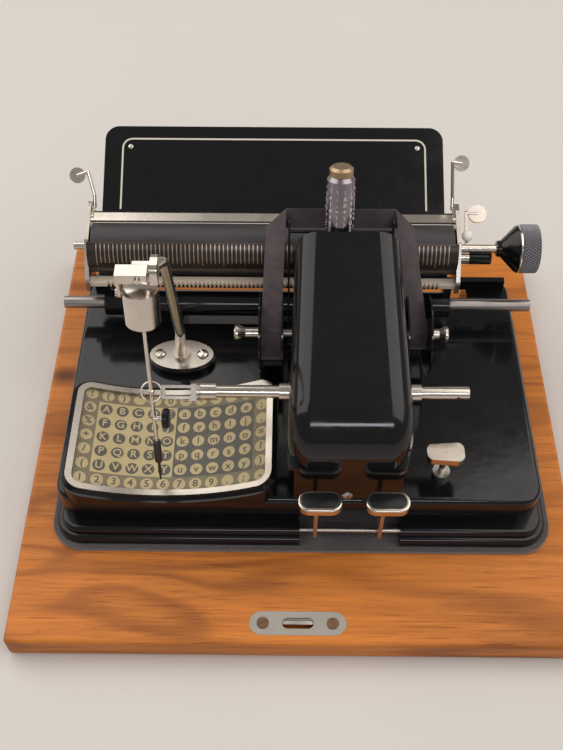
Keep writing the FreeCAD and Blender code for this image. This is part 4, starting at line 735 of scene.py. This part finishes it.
CARRIER_LEAN = math.atan2(TYPE_AXIS.y, TYPE_AXIS.z)
FOLD_GAP = 0.00035
RIBBON_BOW = 0.0004
RIBBON_THICKNESS = 0.00022
WOUND_THICKNESS = 0.00018
WOUND_WANDER = 0.00012
ROLL_CLEARANCE = 0.0002
HUB_RADIUS = 0.0073
TURN_STEPS = 44
THREADED_STEPS = 150


def spool_place(side):
    """Middle of one spool."""
    return joint_place(f"{side}_spool_turn")


def roll_radius(side):
    """Outer radius of the ribbon on one spool."""
    return (high(f"{side}_ribbon_roll").z - low(f"{side}_ribbon_roll").z) / 2


def ribbon_fold(side):
    """Place at the top of one rising strip where the ribbon turns across."""
    crossing = middle("ribbon_crossing")
    half = sizes().ribbon_width / 2
    left, right = low("ribbon_crossing").x - half, high("ribbon_crossing").x + half
    return Vector((left if side == "left" else right, crossing.y, crossing.z))


def strip_foot(side):
    """Place where the ribbon leaves its wound roll, touching it."""
    fold = ribbon_fold(side)
    hub = spool_place(side)
    run, rise = fold.y - hub.y, fold.z - hub.z
    radius = roll_radius(side) + ROLL_CLEARANCE
    leave = math.atan2(rise, run) + math.acos(radius / math.hypot(run, rise))
    return Vector((hub.x, hub.y + radius * math.cos(leave), hub.z + radius * math.sin(leave)))


def ribbon_point(part, across):
    """Point of the threaded ribbon: part runs 0 to 1 up, 1 to 2 across and 2 to 3 down."""
    offset = (across - 0.5) * sizes().ribbon_width
    up = Vector((0.0, math.sin(CARRIER_LEAN), math.cos(CARRIER_LEAN)))
    forward = Vector((0.0, -up.z, up.y))
    if 1.0 <= part <= 2.0:
        share = part - 1.0
        start, end = ribbon_fold("left") + RIGHT * offset, ribbon_fold("right") - RIGHT * offset
        lift = FOLD_GAP * min(1.0, 6.0 * min(share, 1.0 - share))
        return start.lerp(end, share) + up * offset + forward * lift
    rising = part < 1.0
    side, share = ("left", 1.0 - part) if rising else ("right", part - 2.0)
    aside = RIGHT * (offset if rising else -offset)
    crest = ribbon_fold(side) + aside + up * offset
    base = strip_foot(side) + aside
    bow = math.sin(share * math.pi) * RIBBON_BOW
    return crest.lerp(base, share) - forward * (bow + FOLD_GAP * min(1.0, 8.0 * share))


def wound_ribbon(side):
    """The ribbon wound on one spool, turn on turn."""
    hub = spool_place(side)
    radius = roll_radius(side)
    width = sizes().ribbon_width
    turns = (radius - HUB_RADIUS) / sizes().ribbon_pitch
    foot = strip_foot(side)
    first = math.atan2(foot.z - hub.z, foot.y - hub.y)

    def place_of(u, v):
        reach = HUB_RADIUS + (radius - HUB_RADIUS) * v
        angle = first - 2 * math.pi * turns * (1.0 - v)
        wander = WOUND_WANDER * lattice.noise(Vector((v * 9.0, u * 2.0, radius)))
        return Vector((hub.x + (u - 0.5) * width + wander, hub.y + reach * math.cos(angle),
                       hub.z + reach * math.sin(angle)))

    sheet = wavy_sheet(2, int(turns * TURN_STEPS), place_of)
    modify(sheet, "SOLIDIFY", thickness=WOUND_THICKNESS, offset=0.0)
    wound = dress(sheet, f"{side}_wound_ribbon", f"{side}_spool", "inked_ribbon",
                  60.0)
    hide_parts(f"{side}_ribbon_roll")


class TYPEWRITER_OT_ribbon(bpy.types.Operator):
    """Thread the inked ribbon over its guide and wind its ends"""

    bl_idname = "typewriter.ribbon"
    bl_label = "Inked ribbon"

    def execute(self, context):
        sheet = wavy_sheet(4, THREADED_STEPS, lambda u, v: ribbon_point(3.0 * v, u))
        line = [ribbon_point(3.0 * n / THREADED_STEPS, 0.5) for n in range(THREADED_STEPS + 1)]
        run = sum((end - start).length for start, end in zip(line, line[1:]))
        modify(sheet, "SOLIDIFY", thickness=RIBBON_THICKNESS, offset=0.0)
        ribbon = finish(sheet, "threaded_ribbon", "inked_ribbon", 40.0)
        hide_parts("ribbon_strips", "ribbon_crossing")
        fold, foot = ribbon_fold("left"), strip_foot("right")
        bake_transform(ribbon)
        for side in ("left", "right"):
            wound_ribbon(side)
        return {"FINISHED"}


# -------- small fittings

INLAY_MARGIN = 0.0036
INLAY_DEPTH = 0.0009
INLAY_SUNK = 0.0004
INLAY_ROUND = 0.0005
CATCH_WIDTH = 0.0178
# outlines of screw heads, in shares of their radius and height
FLAT_HEAD = [(0.0, 0.0), (1.0, 0.0), (1.0, 0.8), (0.94, 1.0), (0.0, 1.0)]
DOMED_HEAD = [(0.0, 0.0), (1.0, 0.0), (1.0, 0.35), (0.86, 0.72), (0.5, 0.95), (0.0, 1.0)]


def slotted_head(place, direction, radius, height, turn, outline=DOMED_HEAD):
    """Screw head with a saw slot turned by an angle, its foot at the place."""
    head = lathe([(reach * radius, rise * height) for reach, rise in outline], 40)
    slot = brick((0.0, 0.0, height), (radius * 2.4, radius * 0.24, height * 0.9))
    slot.data.transform(Matrix.Rotation(turn, 4, "Z"))
    return point_to(cut_away(head, slot), place, direction)


def screw_pair(screws, face, inset, radius, height, turns, outline=DOMED_HEAD):
    """Slotted heads over a pair of the frame's screws, their feet at the face's height."""
    foot, top = low(screws), high(screws)
    row = (foot.y + top.y) / 2
    return join([slotted_head((x, row, face), UP, radius, height, turn, outline)
                 for x, turn in zip((foot.x + inset, top.x - inset), turns)])


class TYPEWRITER_OT_keys(bpy.types.Operator):
    """Lay the black inlays in the two front key caps"""

    bl_idname = "typewriter.keys"
    bl_label = "Key inlays"

    def execute(self, context):
        for key in ("print_key", "space_key"):
            place = middle(f"{key}_cap")
            size = high(f"{key}_cap") - low(f"{key}_cap")
            place.z = high(f"{key}_cap").z - INLAY_SUNK
            inlay = stadium_block(place, size.x - INLAY_MARGIN, size.y - INLAY_MARGIN, INLAY_DEPTH,
                                  INLAY_ROUND)
            dress(inlay, f"{key}_inlay", key, "satin_black")
        return {"FINISHED"}


class TYPEWRITER_OT_screws(bpy.types.Operator):
    """Turn the slotted screws of the strike plate, flange and apron"""

    bl_idname = "typewriter.screws"
    bl_label = "Slotted screws"

    def execute(self, context):
        flat = screw_pair("strike_plate_screws", face=high("strike_plate").z - 0.0002,
                          inset=0.0035, radius=0.0034, height=0.0009, turns=(0.5, 1.9),
                          outline=FLAT_HEAD)
        flat = dress(flat, "plate_screw_heads", "root", "brown_screw")
        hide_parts("strike_plate_screws")
        domed = screw_pair("gooseneck_screws", face=high("gooseneck_flange").z - 0.0025,
                           inset=0.0036, radius=0.0036, height=0.002, turns=(0.7, 2.2))
        domed = dress(domed, "flange_screw_heads", "root", "nickel_plate")
        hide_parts("gooseneck_screws")
        corner = low("type_housing")
        place = Vector((middle("type_housing").x, corner.y + 0.0005, corner.z + 0.004))
        apron = slotted_head(place, FORWARD, radius=0.0034, height=0.0016, turn=1.2)
        dress(apron, "apron_screw_head", "root", "plain_steel")
        return {"FINISHED"}


class TYPEWRITER_OT_latch(bpy.types.Operator):
    """Set the catch into the strike plate"""

    bl_idname = "typewriter.latch"
    bl_label = "Latch catch"

    def execute(self, context):
        centre = middle("strike_plate")
        top = high("strike_plate").z
        catch = brick((centre.x, centre.y + 0.0012, top - 0.0016), (CATCH_WIDTH, 0.0030, 0.0008))
        lip = brick((centre.x, centre.y + 0.0026, top - 0.0010), (CATCH_WIDTH, 0.0006, 0.0016))
        dress(join([bevel(catch, 0.0003), bevel(lip, 0.0002)]), "latch_catch", "root",
              "dull_plate")
        return {"FINISHED"}


# -------- carriage scale

TICK_WIDTH = 0.00062
TICK_TOP = math.radians(50.0)
TICK_LIFT = 0.00008
TICK_THICKNESS = 0.00016
TICK_MARGIN = 0.004
LONG_TICK_EVERY = 5
SHORT_TICK = 0.86
EDGE_ANGLES = (math.radians(52.5), math.radians(-9.0))
EDGE_SPAN = 0.035
EDGE_LIFT = 0.00006
EDGE_MARGIN = 0.002


def strip_point(x, angle, reach):
    """Point round the platen, at an angle above the front."""
    return Vector((x, PLATEN_AXIS.y - reach * math.cos(angle),
                   PLATEN_AXIS.z + reach * math.sin(angle)))


class TYPEWRITER_OT_scale(bpy.types.Operator):
    """Raise the ticks of the carriage scale"""

    bl_idname = "typewriter.scale"
    bl_label = "Carriage scale"

    def execute(self, context):
        size = sizes()
        left, right = low("scale_strip").x, high("scale_strip").x
        reach = PLATEN_AXIS.y - low("scale_strip").y
        count = int((right - left - 2 * TICK_MARGIN) / size.tick_step)
        start = (left + right - (count - 1) * size.tick_step) / 2
        ticks = []
        for number in range(count):
            x = start + number * size.tick_step
            share = 1.0 if number % LONG_TICK_EVERY == 0 else SHORT_TICK
            span = size.tick_length * share / reach
            tick = wavy_sheet(1, 6, lambda u, v: strip_point(x + (u - 0.5) * TICK_WIDTH,
                                                            TICK_TOP - span * v, reach + TICK_LIFT))
            modify(tick, "SOLIDIFY", thickness=TICK_THICKNESS, offset=1.0)
            ticks.append(face_out(tick))
        dress(join(ticks), "scale_ticks", "carriage", "tick_metal")
        start, run = left + EDGE_MARGIN, right - left - 2 * EDGE_MARGIN
        edges = [wavy_sheet(40, 1, lambda u, v: strip_point(start + u * run,
                                                           angle + (v - 0.5) * EDGE_SPAN,
                                                           reach + EDGE_LIFT))
                 for angle in EDGE_ANGLES]
        dress(join(edges), "scale_edges", "carriage", "edge_metal")
        return {"FINISHED"}


# -------- paper table

TABLE_SLOPE = math.radians(64.0)
TABLE_UP = Vector((0.0, math.sin(TABLE_SLOPE), math.cos(TABLE_SLOPE)))
TABLE_OUT = Vector((0.0, -TABLE_UP.z, TABLE_UP.y))
TABLE_FOOT = Vector((0.0, PLATEN_AXIS.y + 0.0187, PLATEN_AXIS.z + 0.0079))
TABLE_HALF = 0.108
TABLE_LENGTH = 0.060
TABLE_SKIN = 0.0015
STRIPE_FOOT = 0.004
STRIPE_CORNER = 0.006
CORNER_STEPS = 6
RIVET_OUTLINE = [(0.0, 0.0), (0.0017, 0.0), (0.0015, 0.0005), (0.0008, 0.0008), (0.0, 0.0009)]
RIVET_INSET = 0.0050
RIVET_DROP = 0.0055


def table_point(x, up):
    """Point just above the paper table's front face, from its middle line and its foot."""
    return TABLE_FOOT + Vector((x, 0.0, 0.0)) + TABLE_UP * up + TABLE_OUT * TABLE_SKIN


def table_band(start, end, width):
    """Painted line along the table's face between two (x, up) places."""
    run = Vector((end[0] - start[0], end[1] - start[1])).normalized() * (width / 2)

    def place_of(u, v):
        x = start[0] + (end[0] - start[0]) * v - run.y * (2 * u - 1)
        up = start[1] + (end[1] - start[1]) * v + run.x * (2 * u - 1)
        return table_point(x, up)

    return wavy_sheet(1, 8, place_of)


class TYPEWRITER_OT_table(bpy.types.Operator):
    """Paint the pinstripe and set the rivets of the paper table"""

    bl_idname = "typewriter.table"
    bl_label = "Paper table trim"

    def execute(self, context):
        size = sizes()
        centre = middle("paper_table").x
        half = TABLE_HALF - size.stripe_inset
        top = TABLE_LENGTH - size.stripe_inset * 0.75
        line = [(centre - half, STRIPE_FOOT), (centre - half, top - STRIPE_CORNER)]
        for number in range(1, CORNER_STEPS + 1):
            angle = math.pi / 2 * number / CORNER_STEPS
            line.append((centre - half + STRIPE_CORNER * (1 - math.cos(angle)),
                         top - STRIPE_CORNER * (1 - math.sin(angle))))
        line += [(2 * centre - x, up) for x, up in reversed(line)]
        bands = [table_band(start, end, size.stripe_width) for start, end in zip(line, line[1:])]
        dress(face_out(join(bands)), "table_stripe", "carriage", "stripe_paint")
        rivets = [point_to(lathe(RIVET_OUTLINE, 24), table_point(x, top - RIVET_DROP), TABLE_OUT)
                  for x in (centre - half + RIVET_INSET, centre + half - RIVET_INSET)]
        dress(join(rivets), "table_rivets", "carriage", "plain_steel")
        return {"FINISHED"}


# -------- platen knob

GRIP_SHARE = 0.50
KNOB_BORE = 0.0026
RING_WIDTH = 0.0016
KNURL_ROWS = 30
KNURL_WAVES = 50
KNURL_LEAD = 0.0031


def knob_cone(radius, end):
    """Black cone, flaring from its hub to the grip."""
    return lathe([(KNOB_BORE, 0.0), (0.0044, 0.0), (0.0050, 0.0006), (0.0052, 0.0026),
                  (0.0058, 0.0032), (radius * 0.93, end - 0.0010), (radius * 0.95, end),
                  (KNOB_BORE, end)], 72)


def knob_ring(radius):
    """Pale ring between the cone and the grip."""
    return lathe([(KNOB_BORE, 0.0), (radius * 0.95, 0.0), (radius * 0.985, 0.0004),
                  (radius * 0.985, 0.0012), (radius * 0.95, RING_WIDTH), (KNOB_BORE, RING_WIDTH)],
                 72)


def knurled_grip(radius, first, last):
    """Grip with raised diamonds and a dished end, between two heights along the knob."""
    rim = radius - 0.0006
    rows = [(0.0, first, 0.0), (rim, first, 0.0)]
    rows += [(radius, first + (last - first) * (n + 0.5) / KNURL_ROWS, 1.0)
             for n in range(KNURL_ROWS)]
    rows += [(rim, last, 0.0), (radius * 0.88, last - 0.0002, 0.0),
             (radius * 0.80, last - 0.0014, 0.0), (radius * 0.62, last - 0.0014, 0.0),
             (radius * 0.55, last - 0.0002, 0.0), (0.0, last - 0.0002, 0.0)]
    depth = sizes().knurl_depth

    def place_of(u, v):
        reach, height, cut = rows[round(v * (len(rows) - 1))]
        turn = u * math.pi * KNURL_WAVES
        lead = math.pi * (height - first) / KNURL_LEAD
        diamond = abs(math.sin(turn + lead) * math.sin(turn - lead))
        reach -= depth * (1.0 - diamond) * cut
        angle = 2 * math.pi * u
        return Vector((reach * math.cos(angle), reach * math.sin(angle), height))

    return face_out(wavy_sheet(8 * KNURL_WAVES, len(rows) - 1, place_of))


class TYPEWRITER_OT_knob(bpy.types.Operator):
    """Turn the platen knob: black cone, pale ring and knurled grip"""

    bl_idname = "typewriter.knob"
    bl_label = "Platen knob"

    def execute(self, context):
        foot, top = low("platen_knob"), high("platen_knob")
        radius = (top.z - foot.z) / 2
        whole = top.x - foot.x
        cone_end = whole - whole * GRIP_SHARE
        root = Vector((foot.x, PLATEN_AXIS.y, PLATEN_AXIS.z))
        cone = point_to(knob_cone(radius, cone_end), root, RIGHT)
        dress(cone, "knob_cone", "platen", "black_enamel")
        ring = point_to(knob_ring(radius), root + RIGHT * cone_end, RIGHT)
        dress(ring, "knob_ring", "platen", "bright_nickel")
        grip = point_to(knurled_grip(radius, cone_end + RING_WIDTH, whole), root, RIGHT)
        grip = dress(grip, "knurled_grip", "platen", "grey_grip", 30.0)
        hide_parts("platen_knob")
        return {"FINISHED"}


# -------- line space lever

TUBE_OUTLINE = [(0.00424, 0.0070), (0.00445, 0.0072), (0.00445, 0.0204), (0.0042, 0.0211),
                (0.0, 0.0212), (0.0, 0.0210), (0.00424, 0.0205)]
BUTTON_OUTLINE = [(0.0, 0.0), (0.0013, 0.0), (0.0013, 0.0016), (0.0031, 0.0017), (0.0035, 0.0022),
                  (0.0034, 0.0032), (0.0026, 0.0042), (0.0013, 0.0047), (0.0, 0.0049)]
LEVER_ARM = Vector((0.0, 0.024, 0.0145))
BUTTON_SHARE = 0.45
BUTTON_STANDS = 0.0019
BUTTON_INSET = 0.0058


class TYPEWRITER_OT_lever(bpy.types.Operator):
    """Fit the black tube and the ivory button of the line space lever"""

    bl_idname = "typewriter.lever"
    bl_label = "Line space fittings"

    def execute(self, context):
        hub = joint_place("line_space_pull")
        start = low("line_space_lever").x
        tube = point_to(lathe(TUBE_OUTLINE, 48), Vector((start, hub.y, hub.z)), RIGHT)
        dress(tube, "drum_tube", "line_space_lever", "black_enamel")
        out = Vector((0.0, -LEVER_ARM.z, LEVER_ARM.y)).normalized()
        seat = hub + LEVER_ARM * BUTTON_SHARE + out * BUTTON_STANDS
        seat.x = start + BUTTON_INSET
        button = point_to(lathe(BUTTON_OUTLINE, 36), seat, out)
        dress(button, "lever_button", "line_space_lever", "ivory")
        return {"FINISHED"}


# -------- raised type

TYPE_RISE = 0.077
TYPE_RADIUS = 0.008
TYPE_FIRST_ROW = 0.0045
TYPE_ROW_STEP = 0.0039
TYPE_DEPTH = 0.0003
TYPE_SPREAD = 0.00006
TYPE_FACETS = 3


class TYPEWRITER_OT_type(bpy.types.Operator):
    """Cast the raised letters on the type cylinder"""

    bl_idname = "typewriter.type"
    bl_label = "Raised type"

    def execute(self, context):
        size = sizes()
        base = joint_place("cylinder_turn") + TYPE_AXIS * TYPE_RISE
        front = TYPE_AXIS.cross(RIGHT).normalized()
        letters = []
        for row in range(size.row_count):
            up = TYPE_FIRST_ROW + row * TYPE_ROW_STEP
            for column in range(size.column_count):
                angle = 2 * math.pi * (column + 0.5) / size.column_count
                out = RIGHT * math.sin(angle) - front * math.cos(angle)
                letter = solid_sign(LETTER_ROWS[row][column], size.type_height, TYPE_DEPTH,
                                    TYPE_SPREAD)
                letter.data.resolution_u = TYPE_FACETS
                turn = Matrix((-TYPE_AXIS.cross(out), TYPE_AXIS, out)).transposed().to_4x4()
                place = base + TYPE_AXIS * up + out * TYPE_RADIUS
                letter.matrix_world = Matrix.Translation(place) @ turn
                letters.append(face_out(apply_place(letter)))
        dress(join(letters), "raised_letters", "type_cylinder", "type_face")
        return {"FINISHED"}


# -------- stage

LENS = 46.32
SENSOR_WIDTH = 36.0
CAMERA_PLACE = (-0.007, -0.3538, 0.538)
CAMERA_PITCH = math.radians(90.0 - 53.27)
CAMERA_YAW = math.radians(0.586)
WORLD_COLOUR = (1.0, 0.95, 0.90)
WORLD_STRENGTH = 0.28
FLOOR_SIZE = 60.0
# place, aim, size in metres, watts and colour
LAMPS = {
    "window": ((-1.6, 0.9, 1.8), (0.0, 0.05, 0.05), (3.2, 2.8), 54.0, (1.0, 0.97, 0.93)),
    "ceiling": ((1.5, 0.1, 2.0), (0.0, 0.0, 0.0), (2.8, 2.4), 42.0, (1.0, 0.95, 0.90)),
    "front": ((0.1, -1.7, 1.6), (0.0, 0.0, 0.05), (0.9, 0.22), 7.0, (0.90, 0.92, 1.0)),
}


def lay_floor():
    """Large pale floor with a faint mottle."""
    put_down()
    bpy.ops.mesh.primitive_plane_add(size=FLOOR_SIZE, location=(0.0, 0.0, 0.0))
    floor = bpy.context.object
    floor.name = "studio_floor"
    pale = Paint("studio_floor", roughness=0.8)
    pale.feed(pale.mix(pale.noise(3.0, 3.0), (0.58, 0.55, 0.52), (0.63, 0.60, 0.57)), "Base Color")
    floor.data.materials.append(pale.material)


def hang_lamp(name, place, aim, size, power, shade):
    """Soft rectangular lamp that looks at its aim."""
    put_down()
    bpy.ops.object.light_add(type="AREA", location=place)
    light = bpy.context.object
    light.name = name
    light.data.shape = "RECTANGLE"
    light.data.size = size[0]
    light.data.size_y = size[1]
    light.data.energy = power
    light.data.color = shade
    light.rotation_euler = (Vector(aim) - Vector(place)).to_track_quat("-Z", "Y").to_euler()


class TYPEWRITER_OT_stage(bpy.types.Operator):
    """Set up the floor, the soft light and the camera"""

    bl_idname = "typewriter.stage"
    bl_label = "Stage"

    def execute(self, context):
        lay_floor()
        world = bpy.data.worlds.new("studio")
        world.use_nodes = True
        sky = world.node_tree.nodes["Background"]
        sky.inputs["Color"].default_value = opaque(WORLD_COLOUR)
        sky.inputs["Strength"].default_value = WORLD_STRENGTH
        context.scene.world = world
        for name, settings in LAMPS.items():
            hang_lamp(name, *settings)
        bpy.ops.object.camera_add(location=CAMERA_PLACE, rotation=(CAMERA_PITCH, 0.0, CAMERA_YAW))
        camera = bpy.context.object
        camera.data.lens = LENS
        camera.data.sensor_width = SENSOR_WIDTH
        camera.data.clip_start = 0.01
        context.scene.camera = camera
        context.scene.view_settings.view_transform = "Standard"
        return {"FINISHED"}


# -------- panel and registration

STEPS = ["finishes", "card", "felt", "ribbon", "keys", "screws", "latch", "scale", "table",
         "knob", "lever", "type", "stage"]


class TYPEWRITER_PT_panel(bpy.types.Panel):
    """Lists the steps that dress the typewriter."""

    bl_label = "Index Typewriter"
    bl_idname = "TYPEWRITER_PT_panel"
    bl_space_type = "VIEW_3D"
    bl_region_type = "UI"
    bl_category = "Typewriter"

    def draw(self, context):
        for step in STEPS:
            self.layout.operator(f"typewriter.{step}")


CLASSES = [TypewriterSizes, TypewriterColours, TYPEWRITER_OT_finishes, TYPEWRITER_OT_card,
           TYPEWRITER_OT_felt, TYPEWRITER_OT_ribbon, TYPEWRITER_OT_keys, TYPEWRITER_OT_screws,
           TYPEWRITER_OT_latch, TYPEWRITER_OT_scale, TYPEWRITER_OT_table, TYPEWRITER_OT_knob,
           TYPEWRITER_OT_lever, TYPEWRITER_OT_type, TYPEWRITER_OT_stage, TYPEWRITER_PT_panel]


def register():
    for cls in CLASSES:
        bpy.utils.register_class(cls)
    bpy.types.Scene.typewriter_sizes = PointerProperty(type=TypewriterSizes)
    bpy.types.Scene.typewriter_colours = PointerProperty(type=TypewriterColours)


def unregister():
    del bpy.types.Scene.typewriter_sizes
    del bpy.types.Scene.typewriter_colours
    for cls in reversed(CLASSES):
        bpy.utils.unregister_class(cls)


def main():
    register()
    for step in STEPS:
        getattr(bpy.ops.typewriter, step)()
    put_down()


if __name__ == "__main__":
    main()
